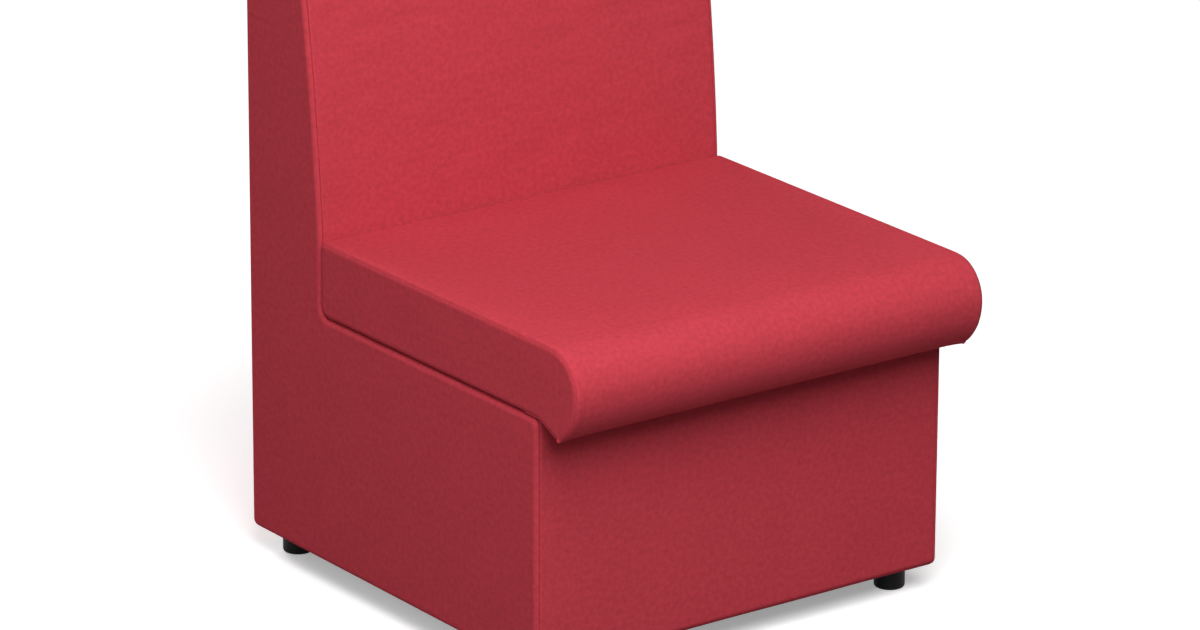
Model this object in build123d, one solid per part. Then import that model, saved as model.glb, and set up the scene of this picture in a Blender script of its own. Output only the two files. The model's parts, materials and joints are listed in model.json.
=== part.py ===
from build123d import *
import math
import os

# Armless modular seat: a box base and a leaning backrest covered as one body,
# a nosed seat cushion screwed down on it, and four screw-in feet.
# Millimetres. X runs across the seat, -Y is its front, +Z is up.
# The origin is on the floor, in the middle of the bounding box.

# Finished, upholstered base and backrest
seat_width = 600
base_depth = 600
overall_height = 790
base_top_height = 343
base_bottom_height = 30
back_depth_at_seat = 156
back_depth_at_top = 117
back_bulge = 5
back_bend_radius = 250
corner_radius = 10
edge_radius = 7
notch_radius = 15
seam_inset = 6
bevel_share = 0.6

# Seat cushion
cushion_height = 97
nose_overhang = 78
nose_middle_drop = 51
nose_tip_setback = 35
nose_tip_drop = 16
nose_seam_setback = 3
nose_heel_lead = 3
cushion_gap = 2
cushion_clearance = 0.3
cushion_crown = 3
cushion_rear_radius = 8
crown_flat_margin = 15
crown_section_shares = (-1, -0.5, 0, 0.5, 1)
cushion_seam_inset = 3
cushion_turn_under = 25
seat_board_thickness = 15
seat_board_margin = 10
seat_board_front_setback = 10

# Sheet and padding thicknesses
fabric_thickness = 2
side_padding_thickness = 8
front_padding_thickness = 8
top_padding_thickness = 8
back_foam_thickness = 20
dust_cover_thickness = 1
dust_cover_margin = 14
dust_cover_corner_cut = 54

# Frame
frame_board = 18
back_board_thickness = 4
rear_board_thickness = 4
rear_bottom_rail_height = 100
rear_middle_rail_height = 90
rear_middle_rail_lift = 300
lumbar_rail_height = 80
lumbar_rail_lift = 40
lumbar_rail_thickness = 26
seat_rail_height = 70
seat_rail_lead = 18
cleat_width = 25
cleat_height = 45
corner_block_side = 70
corner_block_height = 32
tenon_width = 36
tenon_thickness = 6
tenon_frame_depth = 12
tenon_rail_depth = 18
tenon_margin = 12
seat_screw_diameter = 5
seat_screw_length = 58
seat_screw_head_size = 9
seat_screw_head_height = 3
seat_screw_margin = 70

# Feet
foot_inset = 41
foot_diameter = 38
foot_stem_diameter = 8
foot_stem_length = 62
foot_stem_socket = 12
foot_stem_clearance = 0.1
foot_plate_side = 32
foot_plate_thickness = 4
foot_plate_offset = 4

# Places that follow from the sizes above
half_width = seat_width / 2
seat_height = base_top_height + cushion_height
overall_depth = base_depth + nose_overhang
base_rear_y = overall_depth / 2
base_front_y = base_rear_y - base_depth
back_face_seat_y = base_rear_y - back_depth_at_seat
back_face_top_y = base_rear_y - back_depth_at_top

padding_outer_x = half_width - fabric_thickness
frame_outer_x = padding_outer_x - side_padding_thickness
frame_inner_x = frame_outer_x - frame_board
front_inset = fabric_thickness + front_padding_thickness
rear_inset = fabric_thickness + rear_board_thickness
top_inset = fabric_thickness + top_padding_thickness
deck_inset = fabric_thickness + side_padding_thickness
face_inset = fabric_thickness + back_foam_thickness + back_board_thickness
panel_front_y = base_front_y + front_inset
panel_rear_y = panel_front_y + frame_board
rear_rail_rear_y = base_rear_y - rear_inset
rear_rail_front_y = rear_rail_rear_y - frame_board
seat_rail_front_y = back_face_seat_y - seat_rail_lead
seat_rail_rear_y = back_face_seat_y + face_inset
deck_frame_z = base_top_height - deck_inset
deck_cover_z = base_top_height - fabric_thickness
top_frame_z = overall_height - top_inset
bottom_cover_z = base_bottom_height + fabric_thickness
cushion_bottom_z = base_top_height + cushion_gap
cushion_rear_y = back_face_seat_y - cushion_clearance
cushion_board_z = cushion_bottom_z + fabric_thickness
cushion_board_top_z = cushion_board_z + seat_board_thickness
nose_middle_z = seat_height - nose_middle_drop
nose_front_y = base_front_y - nose_overhang
nose_tip_y = nose_front_y + nose_tip_setback
nose_tip_z = base_top_height - nose_tip_drop


def slab(x_range, y_range, z_range):
    """Block between two opposite corners."""
    low = Vector(x_range[0], y_range[0], z_range[0])
    high = Vector(x_range[1], y_range[1], z_range[1])
    size = high - low
    return Pos((low + high) / 2) * Box(size.X, size.Y, size.Z)


def across(limit):
    """Range over X from minus to plus a limit."""
    return (-limit, limit)


def sided(low, high, side):
    """Range over X on one side of the middle: side is -1 on the left and 1 on the right."""
    return (low, high) if side > 0 else (-high, -low)


def round_corner(outline, place, radius):
    """Rounds the corner of a flat outline that lies nearest to a place."""
    corner = outline.vertices().sort_by_distance((place[0], place[1], 0))[0]
    return fillet(corner, radius)


def back_face_y(height):
    """Front of the backrest at a height, on the long arc from the seat to the top edge."""
    rise = overall_height - seat_height
    lean = back_face_top_y - back_face_seat_y
    chord = math.hypot(rise, lean)
    radius = chord * chord / (8 * back_bulge) + back_bulge / 2
    middle_y = (back_face_seat_y + back_face_top_y) / 2
    middle_z = (seat_height + overall_height) / 2
    centre_y = middle_y + (radius - back_bulge) * rise / chord
    centre_z = middle_z - (radius - back_bulge) * lean / chord
    return centre_y - math.sqrt(radius * radius - (height - centre_z) ** 2)


def side_outline(front=0, bottom=0, rear=0, top=0, face=0, deck=0):
    """L-shaped outline from the side, each of its edges set in by its own amount."""
    front_y = base_front_y + front
    rear_y = base_rear_y - rear
    face_y = back_face_seat_y + face
    bottom_z = base_bottom_height + bottom
    deck_z = base_top_height - deck
    top_z = overall_height - top
    middle_z = (seat_height + top_z) / 2
    top_corner = (back_face_y(top_z) + face, top_z)
    edges = Polyline(
        (rear_y, top_z), (rear_y, bottom_z), (front_y, bottom_z),
        (front_y, deck_z), (face_y, deck_z), (face_y, seat_height),
    )
    edges += ThreePointArc((face_y, seat_height), (back_face_y(middle_z) + face, middle_z), top_corner)
    edges += Line(top_corner, (rear_y, top_z))
    return make_face(edges)


def side_block(x_range, **insets):
    """The L-shaped outline carried across a range of X."""
    outline = side_outline(**insets)
    start = Plane.YZ.offset(x_range[0])
    return extrude(start * outline, amount=x_range[1] - x_range[0])


def finished_form(inset):
    """Upholstered base and backrest as one rounded body, set in all over by one amount."""
    outline = side_outline(inset, inset, inset, inset, inset, inset)
    front_y = base_front_y + inset
    rear_y = base_rear_y - inset
    bottom_z = base_bottom_height + inset
    top_z = overall_height - inset
    deck_z = base_top_height - inset
    face_y = back_face_seat_y + inset
    outer_corners = (
        (front_y, bottom_z), (front_y, deck_z), (rear_y, bottom_z),
        (rear_y, top_z), (back_face_y(top_z) + inset, top_z),
    )
    for corner in outer_corners:
        outline = round_corner(outline, corner, corner_radius - inset)
    outline = round_corner(outline, (face_y, deck_z), notch_radius + inset)
    outline = round_corner(outline, (face_y, seat_height), back_bend_radius - inset)
    body = extrude(Plane.YZ * outline, amount=half_width - inset, both=True)
    if inset:
        return bevel_sides(body, inset)
    return fillet(side_rims(body), edge_radius)


def side_rims(body):
    """Edges around the two side faces of a body."""
    sides = body.faces().sort_by(Axis.X)
    return sides[0].edges() + sides[-1].edges()


def bevel_sides(body, inset):
    """Bevels the rims of both side faces, narrower the further the body is set in."""
    return chamfer(side_rims(body), (edge_radius - inset) * bevel_share)


def cushion_outline(crown, inset):
    """Cushion from the side: flat top, round nose, pointed tip and a straight underside."""
    top_z = seat_height + crown
    nose_radius = top_z - nose_middle_z
    tip_drop = nose_middle_z - nose_tip_z
    lip_radius = (tip_drop ** 2 + nose_tip_setback ** 2) / (2 * nose_tip_setback)
    half_turn = math.asin(tip_drop / lip_radius) / 2
    tip = (nose_tip_y, nose_tip_z)
    lip_middle = (
        nose_front_y + lip_radius * (1 - math.cos(half_turn)),
        nose_middle_z - lip_radius * math.sin(half_turn),
    )
    nose_front = (nose_front_y, nose_middle_z)
    nose_share = math.sqrt(0.5)
    nose_middle = (
        nose_front_y + nose_radius * (1 - nose_share),
        nose_middle_z + nose_radius * nose_share,
    )
    nose_top = (nose_front_y + nose_radius, top_z)
    rear_top = (cushion_rear_y, top_z)
    rear_bottom = (cushion_rear_y, cushion_bottom_z)
    heel = (base_front_y - nose_heel_lead, cushion_bottom_z)
    edges = ThreePointArc(tip, lip_middle, nose_front)
    edges += ThreePointArc(nose_front, nose_middle, nose_top)
    edges += Polyline(nose_top, rear_top, rear_bottom, heel, tip)
    outline = make_face(edges)
    outline = round_corner(outline, rear_top, cushion_rear_radius)
    outline = round_corner(outline, rear_bottom, notch_radius)
    if inset:
        outline = offset(outline, amount=-inset, kind=Kind.INTERSECTION)
    return outline


def cushion_form(inset):
    """Seat cushion, crowned across its width, set in all over by one amount."""
    crown_limit = half_width - crown_flat_margin
    sections = [
        Plane.YZ.offset(share * crown_limit)
        * cushion_outline(cushion_crown * (1 - share ** 2), inset)
        for share in crown_section_shares
    ]
    body = loft(sections, ruled=True)
    margin = crown_flat_margin - inset
    for start in (-crown_limit - margin, crown_limit):
        body += extrude(Plane.YZ.offset(start) * cushion_outline(0, inset), amount=margin)
    return bevel_sides(body, inset)


def split_sides(body):
    """Left and right solids of a body that is open across its middle."""
    solids = body.solids().sort_by(Axis.X)
    left = [solid for solid in solids if solid.center().X < 0]
    right = [solid for solid in solids if solid.center().X > 0]
    return Compound(left), Compound(right)


def solids_only(body):
    """The solids of a body as a plain compound for writing."""
    return Compound(body.solids())


# Loose tenons between the side frames and the boards

def upright_tenon(y_range, middle_z):
    """Ranges over Y and Z of a tenon in the end of an upright board."""
    y = (y_range[0] + y_range[1]) / 2
    return (
        (y - tenon_thickness / 2, y + tenon_thickness / 2),
        (middle_z - tenon_width / 2, middle_z + tenon_width / 2),
    )


def tenon_pair(y_range, z_range):
    """Two tenons, one above the other, in the end of a tall board."""
    reach = tenon_margin + tenon_width / 2
    return [upright_tenon(y_range, z_range[0] + reach), upright_tenon(y_range, z_range[1] - reach)]


def middle_tenon(y_range, z_range):
    """One tenon in the middle of the end of an upright board."""
    return [upright_tenon(y_range, (z_range[0] + z_range[1]) / 2)]


def flat_tenon(y_range, z_range):
    """One tenon in the end of a board that lies flat."""
    y = (y_range[0] + y_range[1]) / 2
    z = (z_range[0] + z_range[1]) / 2
    return [(
        (y - tenon_width / 2, y + tenon_width / 2),
        (z - tenon_thickness / 2, z + tenon_thickness / 2),
    )]


front_panel_zone = ((panel_front_y, panel_rear_y), (bottom_cover_z, deck_frame_z))
rear_bottom_zone = (
    (rear_rail_front_y, rear_rail_rear_y),
    (bottom_cover_z, bottom_cover_z + rear_bottom_rail_height),
)
rear_middle_zone = (
    (rear_rail_front_y, rear_rail_rear_y),
    (rear_middle_rail_lift, rear_middle_rail_lift + rear_middle_rail_height),
)
seat_rail_zone = (
    (seat_rail_front_y, seat_rail_rear_y),
    (deck_cover_z - seat_rail_height, deck_cover_z),
)
lumbar_low_z = seat_height + lumbar_rail_lift
lumbar_front_y = back_face_y(lumbar_low_z) + face_inset
lumbar_zone = (
    (lumbar_front_y, lumbar_front_y + lumbar_rail_thickness),
    (lumbar_low_z, lumbar_low_z + lumbar_rail_height),
)
top_rail_zone = (
    (back_face_y(top_frame_z) + face_inset, rear_rail_rear_y),
    (top_frame_z - frame_board, top_frame_z),
)
tenon_places = (
    tenon_pair(*front_panel_zone) + middle_tenon(*rear_bottom_zone)
    + middle_tenon(*rear_middle_zone) + middle_tenon(*seat_rail_zone)
    + middle_tenon(*lumbar_zone) + flat_tenon(*top_rail_zone)
)


def frame_tenons():
    """All loose tenons of both side frames."""
    reach = (frame_inner_x - tenon_rail_depth, frame_inner_x + tenon_frame_depth)
    return Compound([slab(sided(*reach, side), *place) for side in (-1, 1) for place in tenon_places])


# Frame

def frame_outline_block(x_range):
    """Bare frame carried across a range of X, its bottom corners eased to suit the cover."""
    outline = side_outline(front_inset, fabric_thickness, rear_inset, top_inset, face_inset, deck_inset)
    easing = corner_radius - fabric_thickness
    for corner_y in (base_front_y + front_inset, base_rear_y - rear_inset):
        outline = round_corner(outline, (corner_y, bottom_cover_z), easing)
    start = Plane.YZ.offset(x_range[0])
    return extrude(start * outline, amount=x_range[1] - x_range[0])


def side_frame(side, tenons):
    """L-shaped board that carries the rails, slotted for their tenons."""
    return frame_outline_block(sided(frame_inner_x, frame_outer_x, side)) - tenons


def fitted_rail(zone, tenons):
    """Board between the side frames, trimmed to the frame's own outline."""
    board = slab(across(frame_inner_x), *zone)
    return (board & frame_outline_block(across(frame_inner_x))) - tenons


def seat_rear_rail(tenons):
    """Rail under the rear of the cushion, which also carries the back board and foam."""
    return slab(across(frame_inner_x), *seat_rail_zone) - tenons


def foot_places():
    """Name and middle of each foot."""
    x = half_width - foot_inset
    front_y = base_front_y + foot_inset
    rear_y = base_rear_y - foot_inset
    return {
        "front_left": (-x, front_y), "front_right": (x, front_y),
        "rear_left": (-x, rear_y), "rear_right": (x, rear_y),
    }


def corner_block(x, y):
    """Block in a corner of the base, bored for the foot's stem."""
    side = math.copysign(1, x)
    x_range = sided(frame_inner_x - corner_block_side, frame_inner_x, side)
    y_range = (panel_rear_y, panel_rear_y + corner_block_side)
    if y > (base_front_y + base_rear_y) / 2:
        y_range = (rear_rail_front_y - corner_block_side, rear_rail_front_y)
    z_range = (base_bottom_height, base_bottom_height + corner_block_height)
    bore = Pos(x, y, base_bottom_height) * Cylinder(
        foot_stem_diameter / 2 + foot_stem_clearance, corner_block_height,
        align=(Align.CENTER, Align.CENTER, Align.MIN),
    )
    return slab(x_range, y_range, z_range) - bore


def foot_plate(x, y):
    """Square nut plate on top of a corner block, threaded for the foot's stem."""
    plate = Pos(x - math.copysign(foot_plate_offset, x), y - math.copysign(foot_plate_offset, y)) * Box(
        foot_plate_side, foot_plate_side, foot_plate_thickness,
        align=(Align.CENTER, Align.CENTER, Align.MIN),
    )
    thread = Pos(x, y) * Cylinder(foot_stem_diameter / 2 + foot_stem_clearance, 2 * foot_plate_thickness)
    return Pos(0, 0, base_bottom_height + corner_block_height) * (plate - thread)


def seat_screw_places():
    """Middle of each cushion screw, two in each side cleat."""
    x = frame_inner_x - cleat_width / 2
    y_places = (panel_rear_y + seat_screw_margin, seat_rail_front_y - seat_screw_margin)
    return [(side * x, y) for side in (-1, 1) for y in y_places]


cleat_z_range = (cushion_board_z - cleat_height, cushion_board_z)
seat_screw_z = cleat_z_range[0]


def seat_front_cleat():
    """Cleat behind the front panel, under the front of the cushion."""
    return slab(across(frame_inner_x), (panel_rear_y, panel_rear_y + cleat_width), cleat_z_range)


def seat_side_cleat(side, seat_screws):
    """Cleat along a side frame, bored for two of the cushion screws."""
    x_range = sided(frame_inner_x - cleat_width, frame_inner_x, side)
    y_range = (panel_rear_y + cleat_width, cushion_rear_y - cushion_turn_under)
    return slab(x_range, y_range, cleat_z_range) - seat_screws


def back_board():
    """Thin board bent over the leaning front edges of the side frames."""
    x_range = across(frame_outer_x)
    outer = side_block(x_range, face=fabric_thickness + back_foam_thickness)
    inner = side_block(x_range, face=face_inset)
    return (outer - inner) & slab(x_range, (base_front_y, base_rear_y), (deck_cover_z, top_frame_z))


def rear_board():
    """Flat board over the rear of the frame."""
    return slab(
        across(frame_outer_x), (rear_rail_rear_y, base_rear_y - fabric_thickness),
        (base_bottom_height + corner_radius, top_frame_z),
    )


# Padding

def side_padding(side, inner_form):
    """Padding over the outside of a side frame and over the top of its seat edge."""
    z_range = (base_bottom_height, overall_height)
    outer = slab(sided(frame_outer_x, half_width, side), (base_front_y, base_rear_y), z_range)
    lip = slab(
        sided(frame_inner_x, frame_outer_x, side), (panel_front_y, seat_rail_rear_y),
        (deck_frame_z, deck_cover_z),
    )
    return inner_form & (outer + lip)


def base_front_padding(inner_form):
    """Padding over the front panel and over its top edge."""
    outer = slab(
        across(frame_outer_x), (base_front_y, panel_front_y), (base_bottom_height, deck_cover_z)
    )
    lip = slab(across(frame_inner_x), (panel_front_y, panel_rear_y), (deck_frame_z, deck_cover_z))
    return inner_form & (outer + lip)


def back_foam(inner_form):
    """Foam on the back board, standing on the rear seat rail."""
    zone = slab(
        across(frame_outer_x), (seat_rail_front_y, base_rear_y), (deck_cover_z, top_frame_z)
    )
    behind = side_block(across(frame_outer_x), face=fabric_thickness + back_foam_thickness)
    return (inner_form & zone) - behind


def top_padding(inner_form):
    """Padding over the top rail, the foam and both side frames."""
    zone = slab(
        across(frame_outer_x), (base_front_y, base_rear_y), (top_frame_z, overall_height)
    )
    return inner_form & zone


# Covers of the base and backrest

def body_covers(inner_form):
    """Fabric panels of the base and backrest: left, right, base front, back and rear."""
    shell = finished_form(0) - inner_form
    seam_x = across(half_width - seam_inset)
    lip_z = (base_bottom_height, bottom_cover_z)
    deck_opening = slab(
        across(frame_inner_x), (panel_rear_y, seat_rail_front_y), (deck_cover_z, base_top_height)
    )
    bottom_opening = slab(across(frame_inner_x), (panel_rear_y, rear_rail_front_y), lip_z)
    shell = shell - deck_opening - bottom_opening
    front_zone = slab(seam_x, (base_front_y, panel_rear_y), (base_bottom_height, base_top_height))
    back_zone = slab(
        seam_x, (seat_rail_front_y, base_rear_y - corner_radius), (deck_cover_z, overall_height)
    )
    rear_zone = slab(
        seam_x, (base_rear_y - corner_radius, base_rear_y), (base_bottom_height, overall_height)
    ) + slab(seam_x, (rear_rail_front_y, base_rear_y), lip_z)
    front_cover = shell & front_zone
    back_cover = shell & back_zone
    rear_cover = shell & rear_zone
    left, right = split_sides(shell - front_zone - back_zone - rear_zone)
    return {
        "side_cover_left": left, "side_cover_right": right,
        "base_front_cover": front_cover, "back_cover": back_cover, "rear_cover": rear_cover,
    }


def dust_cover():
    """Thin sheet that closes the bottom, its corners cut away around the feet."""
    x_limit = half_width - dust_cover_margin
    y_range = (base_front_y + dust_cover_margin, base_rear_y - dust_cover_margin)
    z_range = (base_bottom_height - dust_cover_thickness, base_bottom_height)
    cut = dust_cover_corner_cut
    lengthwise = slab(across(x_limit - cut), y_range, z_range)
    return lengthwise + slab(across(x_limit), (y_range[0] + cut, y_range[1] - cut), z_range)


# Seat cushion

def seat_board_blank():
    """Outline of the seat board, before its screws go in."""
    return slab(
        across(half_width - seat_board_margin),
        (base_front_y + seat_board_front_setback, cushion_rear_y - notch_radius),
        (cushion_board_z, cushion_board_top_z),
    )


def seat_foam(inner_cushion):
    """Foam block of the cushion, recessed for the seat board."""
    return inner_cushion - seat_board_blank()


def cushion_covers(inner_cushion):
    """Fabric panels of the cushion: top, underside, left and right, open under the board."""
    shell = cushion_form(0) - inner_cushion
    seam_x = across(half_width - cushion_seam_inset)
    under = slab(
        seam_x, (nose_tip_y + nose_seam_setback, base_front_y + cushion_turn_under),
        (nose_tip_z, cushion_board_z),
    )
    strip_y = (base_front_y + cushion_turn_under, cushion_rear_y - cushion_turn_under)
    strip_z = (cushion_bottom_z, cushion_board_z)
    window = slab(across(half_width - cushion_turn_under), strip_y, strip_z)
    side_strips = slab(seam_x, strip_y, strip_z)
    middle = slab(seam_x, (nose_front_y, base_rear_y), (base_bottom_height, overall_height))
    open_shell = shell - window
    under_cover = open_shell & under
    top_cover = (open_shell & middle) - under - side_strips
    left, right = split_sides(open_shell - (middle - side_strips))
    return {
        "seat_top_cover": top_cover, "seat_under_cover": under_cover,
        "seat_side_cover_left": left, "seat_side_cover_right": right,
    }


def seat_screw(x, y):
    """Screw with a hexagon head, up through a cleat into the seat board."""
    upwards = (Align.CENTER, Align.CENTER, Align.MIN)
    head = extrude(
        RegularPolygon(seat_screw_head_size / 2, 6, major_radius=False), amount=-seat_screw_head_height
    )
    body = head + Cylinder(seat_screw_diameter / 2, seat_screw_length, align=upwards)
    return Pos(x, y, seat_screw_z) * body


def seat_screws():
    """Screws that hold the cushion down, from under the side cleats."""
    return Compound([seat_screw(x, y) for x, y in seat_screw_places()])


# Feet

foot_height = base_bottom_height
foot_socket_z = foot_height - foot_stem_socket


def foot(x, y):
    """Moulded foot with a socket for its stem."""
    body = Cylinder(foot_diameter / 2, foot_height, align=(Align.CENTER, Align.CENTER, Align.MIN))
    socket = Pos(0, 0, foot_socket_z) * Cylinder(
        foot_stem_diameter / 2, foot_stem_socket, align=(Align.CENTER, Align.CENTER, Align.MIN)
    )
    return Pos(x, y, 0) * (body - socket)


def foot_stem(x, y):
    """Threaded stem, drawn as its outer cylinder."""
    return Pos(x, y, foot_socket_z) * Cylinder(
        foot_stem_diameter / 2, foot_stem_length, align=(Align.CENTER, Align.CENTER, Align.MIN)
    )


def all_parts():
    """Every sub-part of the seat by the name of its file."""
    tenons = frame_tenons()
    cushion_screws = seat_screws()
    inner_form = finished_form(fabric_thickness)
    inner_cushion = cushion_form(fabric_thickness)
    parts = {
        "side_frame_left": side_frame(-1, tenons),
        "side_frame_right": side_frame(1, tenons),
        "front_panel": fitted_rail(front_panel_zone, tenons),
        "rear_bottom_rail": fitted_rail(rear_bottom_zone, tenons),
        "rear_middle_rail": fitted_rail(rear_middle_zone, tenons),
        "lumbar_rail": fitted_rail(lumbar_zone, tenons),
        "top_rail": fitted_rail(top_rail_zone, tenons),
        "seat_rear_rail": seat_rear_rail(tenons),
        "seat_front_cleat": seat_front_cleat(),
        "seat_side_cleat_left": seat_side_cleat(-1, cushion_screws),
        "seat_side_cleat_right": seat_side_cleat(1, cushion_screws),
        "frame_tenons": tenons,
        "back_board": back_board(),
        "rear_board": rear_board(),
        "side_padding_left": side_padding(-1, inner_form),
        "side_padding_right": side_padding(1, inner_form),
        "base_front_padding": base_front_padding(inner_form),
        "back_foam": back_foam(inner_form),
        "top_padding": top_padding(inner_form),
        "dust_cover": dust_cover(),
        "seat_board": seat_board_blank() - cushion_screws,
        "seat_foam": seat_foam(inner_cushion),
        "seat_screws": cushion_screws,
        "foot_plates": Compound([foot_plate(x, y) for x, y in foot_places().values()]),
    }
    parts.update(body_covers(inner_form))
    parts.update(cushion_covers(inner_cushion))
    for name, (x, y) in foot_places().items():
        parts["corner_block_" + name] = corner_block(x, y)
        parts["foot_" + name] = foot(x, y)
        parts["foot_stem_" + name] = foot_stem(x, y)
    return parts


os.makedirs("parts", exist_ok=True)
for part_name, body in all_parts().items():
    export_step(solids_only(body), os.path.join("parts", part_name + ".step"))
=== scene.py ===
"""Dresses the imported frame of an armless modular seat: fitted covers, padding, feet, light and camera.

All lengths are metres in the frame of the solids: X runs across the seat, -Y is its front, +Z is up.
"""

from __future__ import annotations

import json
import logging
import math
from abc import ABC, abstractmethod
from dataclasses import dataclass, replace
from enum import Enum
from typing import Any, Callable, Sequence

import bmesh
import bpy
import numpy as np
from mathutils import Matrix, Vector

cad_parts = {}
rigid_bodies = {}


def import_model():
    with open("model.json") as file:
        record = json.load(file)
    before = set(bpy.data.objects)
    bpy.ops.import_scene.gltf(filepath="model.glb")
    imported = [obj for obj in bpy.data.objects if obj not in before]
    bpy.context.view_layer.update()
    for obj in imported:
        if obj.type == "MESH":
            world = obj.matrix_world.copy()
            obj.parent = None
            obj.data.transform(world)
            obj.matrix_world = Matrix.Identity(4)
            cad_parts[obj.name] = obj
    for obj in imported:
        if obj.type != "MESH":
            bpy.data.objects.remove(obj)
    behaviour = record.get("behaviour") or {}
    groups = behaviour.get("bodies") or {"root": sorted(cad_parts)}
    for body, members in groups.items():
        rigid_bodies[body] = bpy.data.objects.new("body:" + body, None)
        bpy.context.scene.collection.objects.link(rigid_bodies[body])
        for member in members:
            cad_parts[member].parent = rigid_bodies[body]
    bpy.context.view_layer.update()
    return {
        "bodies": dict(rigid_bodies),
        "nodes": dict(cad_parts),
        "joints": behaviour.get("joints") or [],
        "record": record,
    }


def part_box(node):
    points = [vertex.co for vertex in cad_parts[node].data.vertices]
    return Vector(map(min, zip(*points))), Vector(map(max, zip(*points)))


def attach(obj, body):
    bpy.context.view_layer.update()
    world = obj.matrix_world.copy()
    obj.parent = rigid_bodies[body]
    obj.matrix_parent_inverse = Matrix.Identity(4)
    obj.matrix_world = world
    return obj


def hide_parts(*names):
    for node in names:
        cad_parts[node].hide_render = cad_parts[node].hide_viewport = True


LOG = logging.getLogger("modular_seat")
MM = 0.001
NEAR = 0.1 * MM

Array = np.ndarray
Rule = Callable[[Array], Array]
Counts = tuple[int, int, int]
Colour = tuple[float, float, float]
Place = tuple[float, float, float]
Piece = bpy.types.Object
Material = bpy.types.Material
Socket = bpy.types.NodeSocket


class Side(Enum):
    """The two sides of the seat, as signs along X."""

    LEFT = -1
    RIGHT = 1

    @property
    def word(self) -> str:
        """The side's name as it stands in the names of solids."""
        return self.name.lower()


# Curves in the plane of the side view

def quarter(count: int) -> Array:
    """Angles of a quarter turn, from 0 to 90 degrees."""
    return np.linspace(0, math.pi / 2, count)


def round_path(corners: Array, radii: Sequence[float], closed: bool = False) -> Array:
    """Rounds the corners of a flat path with tangent arcs.

    At a corner that turns by an angle T, the arc of radius R starts and ends R * tan(T / 2) from it, and
    its centre lies on the bisector, R / cos(T / 2) from the corner.

    Args:
        corners: Corner points, one row each.
        radii: A radius for each corner, 0 for a corner that stays sharp.
        closed: True if the last corner joins the first.

    Returns:
        The points of the rounded path, one row each.
    """
    step = math.radians(2.5)
    count = len(corners)
    runs = []
    for index, radius in enumerate(radii):
        here = corners[index]
        if radius <= 0 or (not closed and index in (0, count - 1)):
            runs.append(here[None])
            continue
        arrive = here - corners[index - 1]
        leave = corners[(index + 1) % count] - here
        arrive, leave = arrive / np.linalg.norm(arrive), leave / np.linalg.norm(leave)
        turn = math.atan2(arrive[0] * leave[1] - arrive[1] * leave[0], float(arrive @ leave))
        across = leave - arrive
        centre = here + across / np.linalg.norm(across) * radius / math.cos(turn / 2)
        first = here - arrive * radius * math.tan(abs(turn) / 2) - centre
        angles = np.linspace(0, turn, max(3, round(abs(turn) / step)))[:, None]
        normal = np.array([-first[1], first[0]])
        runs.append(centre + np.cos(angles) * first + np.sin(angles) * normal)
    return np.vstack(runs)


def read_off(path: Array, measure: Array, wanted: Array) -> Array:
    """Points of a path where a measure that grows along it has the wanted values."""
    return np.column_stack([np.interp(wanted, measure, path[:, axis]) for axis in (0, 1)])


def spread(path: Array, line_step: float, turn_step: float, count: int | None = None) -> Array:
    """Places points along a path, closer together where it turns.

    The points lie at equal steps of a weight, which grows by 1 for each line_step of length and for each
    turn_step of angle.

    Args:
        path: Points of the path, close together, one row each.
        line_step: Length between points on a straight stretch.
        turn_step: Angle between points on a bend, in radians.
        count: Number of points, or None to work it out from the weight.

    Returns:
        The new points, one row each, with the path's own ends.
    """
    leg = np.diff(path, axis=0)
    length = np.linalg.norm(leg, axis=1)
    keep = np.r_[True, length > 1e-9]
    path, leg, length = path[keep], leg[keep[1:]], length[keep[1:]]
    heading = np.unwrap(np.arctan2(leg[:, 1], leg[:, 0]))
    bend = np.abs(np.diff(heading, prepend=heading[0], append=heading[-1]))
    weight = np.r_[0, np.cumsum(length / line_step + (bend[:-1] + bend[1:]) / 2 / turn_step)]
    count = count or max(4, math.ceil(weight[-1]) + 1)
    return read_off(path, weight, np.linspace(0, weight[-1], count))


def outward(path: Array, closed: bool = False) -> Array:
    """Unit normals on the right of a path, outwards where it runs anticlockwise.

    Args:
        path: Points of the path, one row each.
        closed: True if the last point joins the first.

    Returns:
        One unit normal for each point.
    """
    if closed:
        tangent = np.roll(path, -1, axis=0) - np.roll(path, 1, axis=0)
    else:
        tangent = np.gradient(path, axis=0)
    normal = np.column_stack([tangent[:, 1], -tangent[:, 0]])
    return normal / np.linalg.norm(normal, axis=1, keepdims=True)


def travelled(path: Array) -> Array:
    """Length from the start of a path to each of its points."""
    return np.r_[0, np.cumsum(np.linalg.norm(np.diff(path, axis=0), axis=1))]


def inset(path: Array, distance: float, closed: bool = False) -> Array:
    """Moves each point of a path inwards, against its outward normal, by a distance."""
    return path - outward(path, closed) * distance


def round_drop(distance: Array, radius: Array | float) -> Array:
    """Depth of a rounded edge below its face: R - sqrt(R^2 - e^2), where e is R less the distance.

    Args:
        distance: Distances inwards from the edge.
        radius: Radius of the round, one for all points or one each.

    Returns:
        The depths: the radius at the edge, and none from one radius inwards on.
    """
    beyond = np.clip(radius - distance, 0, radius)
    return radius - np.sqrt(np.maximum(radius**2 - beyond**2, 0))


def waves(across: Array, along: Array, wavelength: float, seed: int) -> Array:
    """Smooth uneven surface of height about -1 to 1: the mean of six plane waves.

    Each wave has its own direction, its own phase and a length from 0.7 to 1.6 times the one given.

    Args:
        across: First coordinate of each point.
        along: Second coordinate of each point.
        wavelength: Middle length of the waves.
        seed: Picks the directions, lengths and phases.

    Returns:
        The height at each point.
    """
    chance = np.random.default_rng(seed)
    total = np.zeros(np.broadcast(across, along).shape)
    for _ in range(6):
        heading, phase = chance.uniform(0, 2 * math.pi, 2)
        turns = 2 * math.pi / (wavelength * chance.uniform(0.7, 1.6))
        total += np.sin(turns * (across * math.cos(heading) + along * math.sin(heading)) + phase)
    return total / 6


# Meshes

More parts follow.
